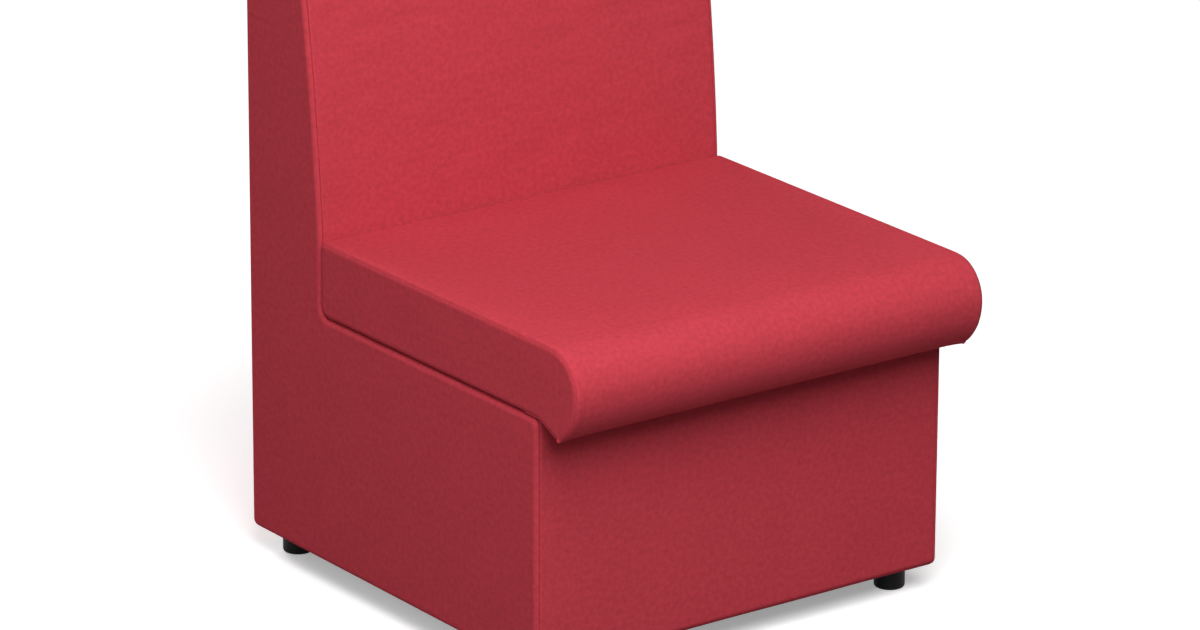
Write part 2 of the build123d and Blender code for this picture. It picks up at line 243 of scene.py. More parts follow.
def grid_quads(rows: int, columns: int, closed: bool = False) -> Array:
    """Quads between the points of a grid that is numbered row by row.

    Args:
        rows: Number of rows.
        columns: Number of points in a row.
        closed: True if each row's last point joins its first.

    Returns:
        Four point numbers for each quad.
    """
    numbers = np.arange(rows * columns).reshape(rows, columns)
    if closed:
        numbers = np.column_stack([numbers, numbers[:, 0]])
    corners = (numbers[:-1, :-1], numbers[:-1, 1:], numbers[1:, 1:], numbers[1:, :-1])
    return np.column_stack([corner.ravel() for corner in corners])


def mesh_piece(name: str, points: Array, quads: Array, cloth: Array | None = None) -> Piece:
    """Makes a smooth-shaded piece from arrays.

    Args:
        name: Name of the piece.
        points: One row of X, Y and Z for each point.
        quads: Four point numbers for each face.
        cloth: Place of each point on the flat cloth in metres, kept as the UV map "cloth".

    Returns:
        The new object, in the scene.
    """
    mesh = bpy.data.meshes.new(name)
    mesh.vertices.add(len(points))
    mesh.vertices.foreach_set("co", np.ascontiguousarray(points, np.float32).ravel())
    mesh.loops.add(quads.size)
    mesh.loops.foreach_set("vertex_index", np.ascontiguousarray(quads, np.int32).ravel())
    mesh.polygons.add(len(quads))
    mesh.polygons.foreach_set("loop_start", np.arange(0, quads.size, 4, dtype=np.int32))
    mesh.update(calc_edges=True)
    mesh.polygons.foreach_set("use_smooth", np.ones(len(quads), bool))
    if cloth is not None:
        layer = mesh.uv_layers.new(name="cloth")
        layer.data.foreach_set("uv", np.ascontiguousarray(cloth[quads.ravel()], np.float32).ravel())
    piece = bpy.data.objects.new(name, mesh)
    bpy.context.scene.collection.objects.link(piece)
    return piece


def clean(piece: Piece, merge: float = 0.02 * MM, closed: bool = False) -> None:
    """Merges points that coincide, drops faces without area, and turns a closed form's faces outwards.

    Args:
        piece: The piece.
        merge: How close points are that coincide, or 0 to merge none.
        closed: True for a closed form.
    """
    work = bmesh.new()
    work.from_mesh(piece.data)
    if merge:
        bmesh.ops.remove_doubles(work, verts=work.verts[:], dist=merge)
        bmesh.ops.dissolve_degenerate(work, edges=work.edges[:], dist=merge)
    if closed:
        bmesh.ops.recalc_face_normals(work, faces=work.faces[:])
    work.to_mesh(piece.data)
    work.free()


def face_outwards(piece: Piece, inside: Sequence[float]) -> None:
    """Turns an open surface's faces over if most of their area looks towards a point inside.

    Args:
        piece: The piece.
        inside: A point on the inner side of the surface.
    """
    mesh = piece.data
    count = len(mesh.polygons)
    normals, centres, areas = np.empty(3 * count), np.empty(3 * count), np.empty(count)
    mesh.polygons.foreach_get("normal", normals)
    mesh.polygons.foreach_get("center", centres)
    mesh.polygons.foreach_get("area", areas)
    outlook = ((centres.reshape(-1, 3) - np.array(inside)) * normals.reshape(-1, 3)).sum(1)
    if (outlook * areas).sum() < 0:
        mesh.flip_normals()


def thicken(piece: Piece, thickness: float) -> None:
    """Gives a cloth surface its thickness on the inner side, with closed edges."""
    wall = piece.modifiers.new("cloth thickness", "SOLIDIFY")
    wall.thickness = thickness
    wall.offset = -1
    wall.use_rim = True


def finish_with(piece: Piece, material: Material) -> None:
    """Gives a piece one material, in place of any that it has."""
    piece.data.materials.clear()
    piece.data.materials.append(material)


def stand_in(piece: Piece, material: Material, node: str,
             body: str = "root") -> None:
    """Gives a piece its material, lets it stand for a solid and reports it.

    Args:
        piece: The piece.
        material: Its material.
        node: The solid that it stands for.
        body: The body that it moves with.
    """
    finish_with(piece, material)
    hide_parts(node)
    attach(piece, body)
    LOG.info("%s: %d points, for %s", piece.name, len(piece.data.vertices), node)


# Finishes

class Shader:
    """A material, or the world, whose nodes are added one after another."""

    def __init__(self, owner: Any, surface: str = "Principled BSDF") -> None:
        """Starts the nodes of a new material or world, with the surface node of that name."""
        owner.use_nodes = True
        self.owner = owner
        self.tree = owner.node_tree
        self.surface = self.tree.nodes[surface]

    def feed(self, node: bpy.types.Node, inputs: dict[str, Any]) -> None:
        """Sets or links a node's inputs.

        Args:
            node: The node.
            inputs: Values or sockets by input name, with _ for a space, or by number as i0, i1 and so on.
        """
        for key, value in inputs.items():
            numbered = key[0] == "i" and key[1:].isdigit()
            socket = node.inputs[int(key[1:]) if numbered else key.replace("_", " ")]
            if isinstance(value, Socket):
                self.tree.links.new(value, socket)
            elif value is not None:
                socket.default_value = value

    def add(self, kind: str, settings: dict[str, Any] | None = None, **inputs: Any) -> bpy.types.Node:
        """Adds a node.

        Args:
            kind: Blender's name of the node type.
            settings: Attributes of the node.
            **inputs: Its inputs, as feed takes them.

        Returns:
            The new node.
        """
        node = self.tree.nodes.new(kind)
        for key, value in (settings or {}).items():
            setattr(node, key, value)
        self.feed(node, inputs)
        return node

    def here(self) -> Socket:
        """Adds the place in the piece's own coordinates."""
        return self.add("ShaderNodeTexCoord").outputs["Object"]

    def math(self, operation: str, first: Any, second: Any = 0.0, third: Any = 0.0) -> Socket:
        """Adds a sum on two or three values and returns its result."""
        node = self.add("ShaderNodeMath", {"operation": operation}, i0=first, i1=second, i2=third)
        return node.outputs[0]

    def line(self, value: Any, factor: Any, plus: Any) -> Socket:
        """Adds a value times a factor, plus another value."""
        return self.math("MULTIPLY_ADD", value, factor, plus)

    def noise(self, place: Any, scale: float, detail: float = 2.0, rough: float = 0.5) -> Socket:
        """Adds smooth noise of about 0 to 1 at a place."""
        return self.add("ShaderNodeTexNoise", None, Vector=place, Scale=scale, Detail=detail,
                        Roughness=rough).outputs["Fac"]

    def cells(self, place: Any, scale: float, randomness: float = 1.0) -> Socket:
        """Adds the distance from the middle of the nearest cell."""
        node = self.add("ShaderNodeTexVoronoi", {"feature": "F1"}, Vector=place, Scale=scale,
                        Randomness=randomness)
        return node.outputs["Distance"]

    def scaled(self, place: Any, x: float, y: float, z: float) -> Socket:
        """Adds a place scaled along each axis."""
        return self.add("ShaderNodeMapping", None, Vector=place, Scale=(x, y, z)).outputs[0]

    def shifted(self, place: Any, along: Place, scale: float, reach: float) -> Socket:
        """Adds a place moved along a direction by noise of a scale times a reach."""
        push = self.math("MULTIPLY", self.noise(place, scale), reach)
        return self.add("ShaderNodeVectorMath", {"operation": "MULTIPLY_ADD"}, i0=along, i1=push,
                        i2=place).outputs[0]

    def tint(self, share: Any, low: Colour, high: Colour) -> Socket:
        """Adds a mix of two colours by a share."""
        node = self.add("ShaderNodeMix", {"data_type": "RGBA"}, i0=share, i6=(*low, 1), i7=(*high, 1))
        return node.outputs[2]

    def bump(self, height: Any, distance: float, strength: float, after: Any = None) -> Socket:
        """Adds a bump of a height, after another one if there is one."""
        return self.add("ShaderNodeBump", None, Height=height, Distance=distance, Strength=strength,
                        Normal=after).outputs[0]

    def seen(self) -> Socket:
        """Adds a value that is 1 to the camera, in gloss and through glass, and 0 to all other light."""
        path = self.add("ShaderNodeLightPath").outputs
        first = self.math("MAXIMUM", path["Is Camera Ray"], path["Is Glossy Ray"])
        return self.math("MAXIMUM", first, path["Is Transmission Ray"])

    def join(self, **inputs: Any) -> Any:
        """Sets or links the surface node's inputs and returns the material or the world."""
        self.feed(self.surface, inputs)
        return self.owner


@dataclass(frozen=True)
class Finish(ABC):
    """A finish with its name and main colour, on the piece's own coordinates if it says no other."""

    name: str
    colour: Colour

    def shade(self, factor: float) -> Colour:
        """The colour, lighter or darker by a factor."""
        return tuple(min(1.0, channel * factor) for channel in self.colour)

    def material(self) -> Material:
        """Builds the material and returns it."""
        shader = Shader(bpy.data.materials.new(self.name))
        return shader.join(**self.surface(shader))

    @abstractmethod
    def surface(self, shader: Shader) -> dict[str, Any]:
        """Adds the nodes and returns the inputs of the material's surface."""


@dataclass(frozen=True)
class ClothFinish(Finish):
    """Woven upholstery cloth, read from the flat cloth's own coordinates in metres."""

    yarn_pitch: float = 1.05 * MM
    wander: float = 1.6 * MM
    contrast: float = 0.16
    slub_share: float = 0.55
    fleck_share: float = 0.3
    cloud_share: float = 0.22
    grain_share: float = 0.85
    # Share of the weave's height in the colour: painted shade in the hollows between the yarns.
    painted_weave_shade_share: float = 0.12
    share_start: float = -0.52
    relief: float = 0.14 * MM
    sheen: float = 0.09
    gloss: float = 0.045
    roughness: float = 0.85

    def yarns(self, shader: Shader, place: Any) -> tuple[Socket, Socket]:
        """Adds the plain weave.

        A yarn's cross-section is the sine of its share of the pitch. It rises and falls along its run with
        a period of two pitches, in step with the number of the yarn, and the higher of the two sets shows.

        Args:
            shader: The material that gets the nodes.
            place: Place on the cloth, counted in yarns.

        Returns:
            The height of the weave, and 1 where the warp shows or 0 where the weft shows.
        """
        split = shader.add("ShaderNodeSeparateXYZ", None, Vector=place)
        heights = []
        for own, other, start in (("X", "Y", 0.0), ("Y", "X", math.pi)):
            phase = shader.math("MULTIPLY", shader.math("FRACT", split.outputs[own]), math.pi)
            arch = shader.math("SINE", phase)
            number = shader.math("FLOOR", split.outputs[own])
            run = shader.line(shader.math("ADD", split.outputs[other], number), math.pi, start)
            lift = shader.line(shader.math("COSINE", run), 0.35, 0.65)
            heights.append(shader.math("MULTIPLY", arch, lift))
        return shader.math("MAXIMUM", *heights), shader.math("GREATER_THAN", *heights)

    def surface(self, shader: Shader) -> dict[str, Any]:
        """Adds the weave, slubs along the yarns, melange, soft mottling, fuzz and painted shade in the
        hollows between the yarns.

        Args:
            shader: The material that gets the nodes.

        Returns:
            The inputs of the material's surface.
        """
        flat = shader.add("ShaderNodeUVMap", {"uv_map": "cloth"}).outputs[0]
        yarn = 1 / self.yarn_pitch
        shifted = shader.shifted(flat, (1, 1, 0), 60.0, self.wander)
        height, warp_shows = self.yarns(shader, shader.scaled(shifted, yarn, yarn, 1))
        warp, weft = (shader.noise(shader.scaled(flat, yarn * x, yarn * y, 1), 0.9, 3.0, 0.6)
                      for x, y in ((1, 0.07), (0.07, 1)))
        either = shader.add("ShaderNodeMix", {"data_type": "FLOAT"}, i0=warp_shows, i2=weft, i3=warp)
        slub = either.outputs[0]
        fleck = shader.noise(flat, yarn * 0.8, 2.0, 0.7)
        cloud = shader.noise(flat, 14.0, 3.0, 0.55)
        grain = shader.noise(flat, 0.155 * yarn, 1.5, 0.6)
        fuzz = shader.noise(flat, yarn * 2.6, 2.0, 0.6)
        # The weave's height also goes into the colour, lighter on the yarns' crowns and darker between
        # them: painted shade.
        share: Any = self.share_start
        for layer, weight in ((slub, self.slub_share), (fleck, self.fleck_share), (cloud, self.cloud_share),
                              (grain, self.grain_share), (height, self.painted_weave_shade_share)):
            share = shader.line(layer, weight, share)
        dark, light = self.shade(1 - self.contrast * 1.6), self.shade(1 + self.contrast * 1.3)
        colour = shader.tint(share, dark, light)
        normal = shader.bump(shader.line(fuzz, 0.4, height), self.relief, 0.75)
        normal = shader.bump(slub, self.relief * 1.4, 0.5, normal)
        normal = shader.bump(grain, self.relief, 0.6, normal)
        return {"Base_Color": colour, "Roughness": self.roughness, "Specular_IOR_Level": self.gloss,
                "Sheen_Weight": self.sheen, "Sheen_Roughness": 0.45,
                "Sheen_Tint": (*self.shade(1.35), 1), "Normal": normal}


@dataclass(frozen=True)
class LiningFinish(Finish):
    """Black spun-bonded lining with its pressed dots and loose fibres."""

    colour: Colour = (0.012, 0.012, 0.013)
    dot_pitch: float = 1.6 * MM

    def surface(self, shader: Shader) -> dict[str, Any]:
        """Adds the nodes and returns the inputs of the material's surface."""
        place = shader.here()
        dots = shader.cells(place, 1 / self.dot_pitch, 0.25)
        fibres = shader.noise(shader.scaled(place, 900, 260, 1), 1.0, 4.0, 0.65)
        share = shader.line(fibres, 0.7, shader.math("MULTIPLY", dots, 0.4))
        return {"Base_Color": shader.tint(share, self.colour, self.shade(3.2)), "Roughness": 0.78,
                "Specular_IOR_Level": 0.3,
                "Normal": shader.bump(shader.math("ADD", dots, fibres), 0.15 * MM, 0.7)}


@dataclass(frozen=True)
class WoodFinish(Finish):
    """Raw wood whose grain runs where the stretch is least."""

    dark: Colour
    stretch: Place

    def surface(self, shader: Shader) -> dict[str, Any]:
        """Adds the nodes and returns the inputs of the material's surface."""
        along = shader.scaled(shader.shifted(shader.here(), (1, 1, 1), 6.0, 0.05), *self.stretch)
        rings = shader.noise(along, 30.0, 3.0, 0.55)
        pores = shader.noise(along, 260.0, 3.0, 0.7)
        share = shader.line(pores, 0.35, shader.line(rings, 1.1, -0.2))
        return {"Base_Color": shader.tint(share, self.colour, self.dark),
                "Roughness": shader.line(pores, 0.2, 0.55), "Specular_IOR_Level": 0.3,
                "Normal": shader.bump(pores, 0.2 * MM, 0.5)}


@dataclass(frozen=True)
class FoamFinish(Finish):
    """Open-celled foam or wadding, its colour darker in the middle of each cell: painted shade in the
    pores.
    """

    cell: float

    def surface(self, shader: Shader) -> dict[str, Any]:
        """Adds the nodes and returns the inputs of the material's surface."""
        place = shader.here()
        cells = shader.cells(place, 1 / self.cell)
        # The colour darkens towards each cell's middle, where the bump sinks it: painted shade in the
        # pores.
        share = shader.line(cells, 0.7, shader.math("MULTIPLY", shader.noise(place, 20.0, 3.0), 0.4))
        return {"Base_Color": shader.tint(share, self.shade(0.62), self.colour), "Roughness": 0.95,
                "Specular_IOR_Level": 0.1, "Normal": shader.bump(cells, 0.4 * MM, 0.8)}


@dataclass(frozen=True)
class SteelFinish(Finish):
    """Zinc-plated steel with faint spangle and rub marks."""

    colour: Colour = (0.62, 0.62, 0.60)

    def surface(self, shader: Shader) -> dict[str, Any]:
        """Adds the nodes and returns the inputs of the material's surface."""
        place = shader.here()
        spangle = shader.cells(place, 600.0)
        rubs = shader.noise(shader.scaled(place, 300, 300, 1400), 1.0, 3.0)
        return {"Base_Color": shader.tint(spangle, self.shade(0.8), self.colour), "Metallic": 1.0,
                "Roughness": shader.line(rubs, 0.25, 0.24), "Normal": shader.bump(rubs, 0.05 * MM, 0.4)}


@dataclass(frozen=True)
class PlasticFinish(Finish):
    """Black moulded plastic with a fine spark-eroded texture and dull scuffs."""

    colour: Colour = (0.005, 0.005, 0.0055)
    grain: float = 0.45 * MM

    def surface(self, shader: Shader) -> dict[str, Any]:
        """Adds the nodes and returns the inputs of the material's surface."""
        place = shader.here()
        grain = shader.noise(place, 1 / self.grain, 2.0, 0.6)
        scuffs = shader.noise(shader.scaled(place, 140, 140, 50), 1.0, 4.0, 0.65)
        colour = shader.tint(shader.math("POWER", scuffs, 3.0), self.colour, self.shade(3.0))
        return {"Base_Color": colour, "Roughness": shader.line(scuffs, 0.2, 0.42),
                "Specular_IOR_Level": 0.1, "Normal": shader.bump(grain, 0.05 * MM, 0.55)}


# Sizes read from the frame

@dataclass(frozen=True)
class SeatSizes:
    """Main places of the upholstered body and the cushion, read from the solids."""

    half_width: float
    front_y: float
    rear_y: float
    bottom_z: float
    deck_z: float
    seat_z: float
    top_z: float
    face_y: float
    panel_rear_y: float
    rail_front_y: float
    rear_lip_y: float
    frame_inner_x: float
    nose_front_y: float
    tip_z: float
    cushion_bottom_z: float
    cushion_rear_y: float
    board_front_y: float
    board_rear_y: float
    board_top_z: float
    board_side_x: float
    crown: float = 3 * MM
    cushion_clearance: float = 0.3 * MM
    cloth: float = 2 * MM
    back_depth_at_top: float = 117 * MM
    back_bulge: float = 5 * MM
    back_bend: float = 250 * MM
    corner: float = 10 * MM
    notch: float = 15 * MM

    @classmethod
    def from_frame(cls) -> SeatSizes:
        """Reads the sizes from the boxes of the solids."""
        front_low, front_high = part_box("base_front_cover")
        rear_low, rear_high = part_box("rear_cover")
        back_low, back_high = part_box("back_cover")
        top_low, top_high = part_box("seat_top_cover")
        board_low, board_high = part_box("seat_board")
        side_low, side_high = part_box("side_cover_right")
        return cls(
            half_width=side_high.x, front_y=front_low.y, rear_y=rear_high.y, bottom_z=front_low.z,
            deck_z=front_high.z, seat_z=top_high.z - cls.crown, top_z=back_high.z,
            face_y=top_high.y + cls.cushion_clearance, panel_rear_y=front_high.y, rail_front_y=back_low.y,
            rear_lip_y=rear_low.y, frame_inner_x=side_low.x, nose_front_y=top_low.y, tip_z=top_low.z,
            cushion_bottom_z=board_low.z - cls.cloth, cushion_rear_y=top_high.y,
            board_front_y=board_low.y, board_rear_y=board_high.y, board_top_z=board_high.z,
            board_side_x=board_high.x,
        )

    def back_face(self, height: Array) -> Array:
        """Place along Y of the front of the backrest at some heights.

        The face is an arc over the chord from the seat to the top edge. Its radius is the chord squared
        over eight times the bulge, plus half the bulge.

        Args:
            height: Heights in metres.

        Returns:
            The place at each height.
        """
        rise = self.top_z - self.seat_z
        lean = self.rear_y - self.back_depth_at_top - self.face_y
        chord = math.hypot(rise, lean)
        radius = chord * chord / (8 * self.back_bulge) + self.back_bulge / 2
        centre_y = self.face_y + lean / 2 + (radius - self.back_bulge) * rise / chord
        centre_z = self.seat_z + rise / 2 - (radius - self.back_bulge) * lean / chord
        return centre_y - np.sqrt(radius * radius - (height - centre_z) ** 2)

    def back_corners(self) -> Array:
        """Points down the front of the backrest, from the top edge to the seat."""
        height = np.linspace(self.top_z, self.seat_z, 26)
        return np.column_stack([self.back_face(height), height])

    def above_seat(self, height: Array) -> Array:
        """The front of the backrest at some heights, and below the seat its lowest place."""
        return self.back_face(np.maximum(height, self.seat_z))


# Covers

@dataclass(frozen=True)
class SeamRoll:
    """How a panel's cloth rolls down into a seam: a quarter of an ellipse."""

    width: float
    depth: float

    def drop(self, distance: Array) -> Array:
        """Depth below the panel at a distance from the seam: the full one there, none beyond the width."""
        return round_drop(distance, self.width) * self.depth / self.width

    def places(self) -> Array:
        """Distances from the seam that follow the quarter ellipse evenly."""
        return self.width * (1 - np.cos(quarter(6)))


@dataclass(frozen=True)
class Softness:
    """How far a padded panel departs from its smooth form."""

    unevenness: float
    wavelength: float
    pucker: float
    pucker_pitch: float
    pucker_reach: float
    seed: int = 0

    def unequal(self, across: Array, along: Array) -> Array:
        """Gentle unevenness of the padding at places on the cloth."""
        return self.unevenness * waves(across, along, self.wavelength, self.seed)

    def puckers(self, along: Array, distance: Array) -> Array:
        """Small puckers beside a seam: waves along it times exp(-distance / reach)."""
        gather = waves(along * 0, along, self.pucker_pitch, self.seed + 1)
        return self.pucker * gather * np.exp(-distance / self.pucker_reach)


@dataclass(frozen=True)
class Inflation:
    """A cloth simulation that blows a closed form up a little, with its sewn parts held."""

    pressure: float
    most: float = 5 * MM
    frames: int = 25
    mass: float = 0.02
    tension: float = 80.0
    bending: float = 1.0
    damping: float = 2.0

    def run(self, name: str, points: Array, quads: Array, held: Array) -> Array:
        """Blows the form up and returns how far each point moved.

        The longest moves are eased to the most allowed: a move of length d becomes m * tanh(d / m).

        Args:
            name: Name of the work copy, which is removed at the end.
            points: Points of a closed surface, where coinciding points count as one.
            quads: Four point numbers for each face.
            held: True for each point that is sewn or rests on the frame.

        Returns:
            The move of each point.
        """
        rounded = np.round(points, 5)
        merged, first, number = np.unique(rounded, axis=0, return_index=True, return_inverse=True)
        number = number.ravel()
        faces = number[quads]
        faces = faces[(np.diff(np.sort(faces, axis=1), axis=1) > 0).all(axis=1)]
        work = mesh_piece(name, merged, faces)
        clean(work, merge=0, closed=True)
        pins = work.vertex_groups.new(name="sewn")
        pins.add(np.flatnonzero(held[first]).tolist(), 1.0, "REPLACE")
        cloth = work.modifiers.new("blow up", "CLOTH")
        settings = cloth.settings
        settings.quality = 6
        settings.mass = self.mass
        settings.tension_stiffness = settings.compression_stiffness = self.tension
        settings.shear_stiffness = self.tension / 2
        settings.bending_stiffness = self.bending
        settings.air_damping = self.damping
        settings.vertex_group_mass = pins.name
        settings.use_pressure = True
        settings.uniform_pressure_force = self.pressure
        settings.effector_weights.gravity = 0
        cloth.point_cache.frame_start, cloth.point_cache.frame_end = 1, self.frames
        scene = bpy.context.scene
        for frame in range(1, self.frames + 1):
            scene.frame_set(frame)
        blown = work.evaluated_get(bpy.context.evaluated_depsgraph_get()).data
        place = np.empty(3 * len(blown.vertices))
        blown.vertices.foreach_get("co", place)
        move = place.reshape(-1, 3) - merged
        mesh = work.data
        bpy.data.objects.remove(work)
        bpy.data.meshes.remove(mesh)
        scene.frame_set(1)
        length = np.linalg.norm(move, axis=1, keepdims=True)
        LOG.info("%s: %d points, longest move %.2f mm", name, len(merged), length.max() / MM)
        return (move * self.most * np.tanh(length / self.most) / np.maximum(length, 1e-9))[number]


@dataclass
class Swell:
    """How a padded form stands proud of its plain shape, on a coarse grid around it and on its sides."""

    outline: Array
    across: Array
    move: Array
    side_places: Array
    side_move: Array
    reach: float = 9 * MM
    side_reach: float = 14 * MM

    @staticmethod
    def shares(places: Array, known: Array, reach: float) -> Array:
        """Share of each known place in each place: exp(-(distance / reach)^2), brought to a sum of 1."""
        nearest = ((places[:, None] - known[None]) ** 2).sum(2)
        share = np.exp(-(nearest - nearest.min(1, keepdims=True)) / reach**2)
        return share / share.sum(1, keepdims=True)

    def at(self, path: Array, across: Array) -> Array:
        """Moves at the points of a finer grid.

        Args:
            path: Points in the side view, one for each row.
            across: Places along X, one for each column.

        Returns:
            The move of each point, with its rows along the path.
        """
        gap = np.abs(across[:, None] - self.across[None])
        share = np.clip(1 - gap / (self.across[1] - self.across[0]), 0, 1)
        share /= np.maximum(share.sum(1, keepdims=True), 1e-9)
        rows = self.shares(path, self.outline, self.reach)
        return np.einsum("rc,ckd,fk->rfd", rows, self.move, share)

    def side(self, places: Array) -> Array:
        """How far the sides are blown outwards at places in the side view."""
        return self.shares(places, self.side_places, self.side_reach) @ self.side_move


@dataclass
class PaddedForm:
    """A padded form as a closed shell: an outline carried across the seat, and a patch on each side."""

    name: str
    outline: Array
    patch: Array
    half_width: float
    columns: int = 37

    @property
    def across(self) -> Array:
        """Places of the shell's columns."""
        return np.linspace(-self.half_width, self.half_width, self.columns)

    def shell(self) -> tuple[Array, Array]:
        """Works out the closed shell.

        Returns:
            Its points (the tube row by row, then the left patch and the right one), and its faces.
        """
        rows, columns = len(self.outline), self.columns
        x, number = np.meshgrid(self.across, np.arange(rows))
        tube = np.dstack([x, self.outline[number, 0], self.outline[number, 1]]).reshape(-1, 3)
        cap = self.patch.reshape(-1, 2)
        caps = [np.column_stack([np.full(len(cap), end), cap]) for end in self.across[[0, -1]]]
        last, first = np.arange(columns) + (rows - 1) * columns, np.arange(columns)
        joint = np.column_stack([last[:-1], last[1:], first[1:], first[:-1]])
        side = grid_quads(*self.patch.shape[:2]) + len(tube)
        quads = np.vstack([grid_quads(rows, columns), joint, side, side[:, ::-1] + len(cap)])
        return np.vstack([tube, *caps]), quads

    def blow_up(self, inflation: Inflation, rests: Rule) -> Swell:
        """Runs the cloth simulation, in which the side seams and the held parts stay in place.

        Args:
            inflation: The simulation.
            rests: Gives True for each of some points that is held.

        Returns:
            The swell.
        """
        points, quads = self.shell()
        count = len(self.outline) * self.columns
        places = self.patch.reshape(-1, 2)
        held = rests(points)
        held[:count] |= np.abs(np.abs(points[:count, 0]) - self.half_width) < NEAR
        move = inflation.run(self.name, points, quads, held)
        tube = move[:count].reshape(len(self.outline), self.columns, 3)
        return Swell(self.outline, self.across, tube, places, move[count + len(places):, 0])


@dataclass(kw_only=True)
class Cover:
    """A sewn panel: the form that it fits, and how its cloth rolls, puckers and turns at the sides."""

    name: str
    half_width: float
    seam_x: float
    roll: SeamRoll
    softness: Softness
    thickness: float
    inside: Place
    rim: float
    rim_at: Rule
    swell: Swell | None = None
    line_step: float = 3 * MM
    turn_step: float = math.radians(9)

    def make(self, points: Array, quads: Array, flat: Array) -> Piece:
        """Makes the piece from its arrays, with its faces outwards and its thickness on the inner side."""
        piece = mesh_piece(self.name, points.reshape(-1, 3), quads, flat.reshape(-1, 2))
        clean(piece)
        face_outwards(piece, self.inside)
        thicken(piece, self.thickness)
        return piece


@dataclass(kw_only=True)
class StripCover(Cover):
    """A cover that runs along a profile and spans the seat between its two side seams."""

    profile: Array
    ends: tuple[bool, bool]
    settle: Rule
    middle_columns: int = 26
    side_margin: float = 16 * MM
    near_side: tuple[float, ...] = (12.5 * MM, 10 * MM, 8 * MM, 6.5 * MM, 5.2 * MM, 4.1 * MM, 3.1 * MM)
    fade: float = 25 * MM

    def columns(self) -> Array:
        """Places across the seat: close together in the rolls and rims, wider in the middle."""
        inner = np.linspace(0, 1, self.middle_columns) ** 0.85 * (self.seam_x - self.side_margin)
        near = self.seam_x - np.array(self.near_side)
        edge = self.seam_x - self.roll.places()[::-1]
        half = np.unique(np.round(np.r_[inner, near[near < edge[0]], edge], 7))
        return np.r_[-half[:0:-1], half]

    def build(self) -> Piece:
        """Makes the cover as a surface of the place across and the length along.

        Each point is the profile's point plus its outward normal times the unevenness and the puckers,
        less the drop of the roll and of the rounded rim. The swell moves it on.

        Returns:
            The piece.
        """
        path = spread(self.profile, self.line_step, self.turn_step)
        normal = outward(path)
        length = travelled(path)
        across = self.columns()
        x, s = np.meshgrid(across, length)
        seam_distance = self.seam_x - np.abs(x)
        gaps = [gap for gap, sewn in zip((s, length[-1] - s), self.ends) if sewn]
        end_distance = np.minimum.reduce([np.ones_like(s), *gaps])
        soft = self.softness
        height = soft.unequal(x, s) * np.minimum(1, np.minimum(seam_distance, end_distance) / self.fade)
        height += soft.puckers(s, seam_distance) + soft.puckers(x, end_distance)
        height -= self.roll.drop(seam_distance) + self.roll.drop(end_distance)
        if self.rim:
            height -= round_drop(self.half_width - np.abs(x), self.rim_at(path)[:, None])
        points = np.dstack([x, path[:, :1] + normal[:, :1] * height, path[:, 1:] + normal[:, 1:] * height])
        points = self.settle(points + self.swell.at(path, across))
        return self.make(points, grid_quads(*x.shape), np.dstack([x, s]))


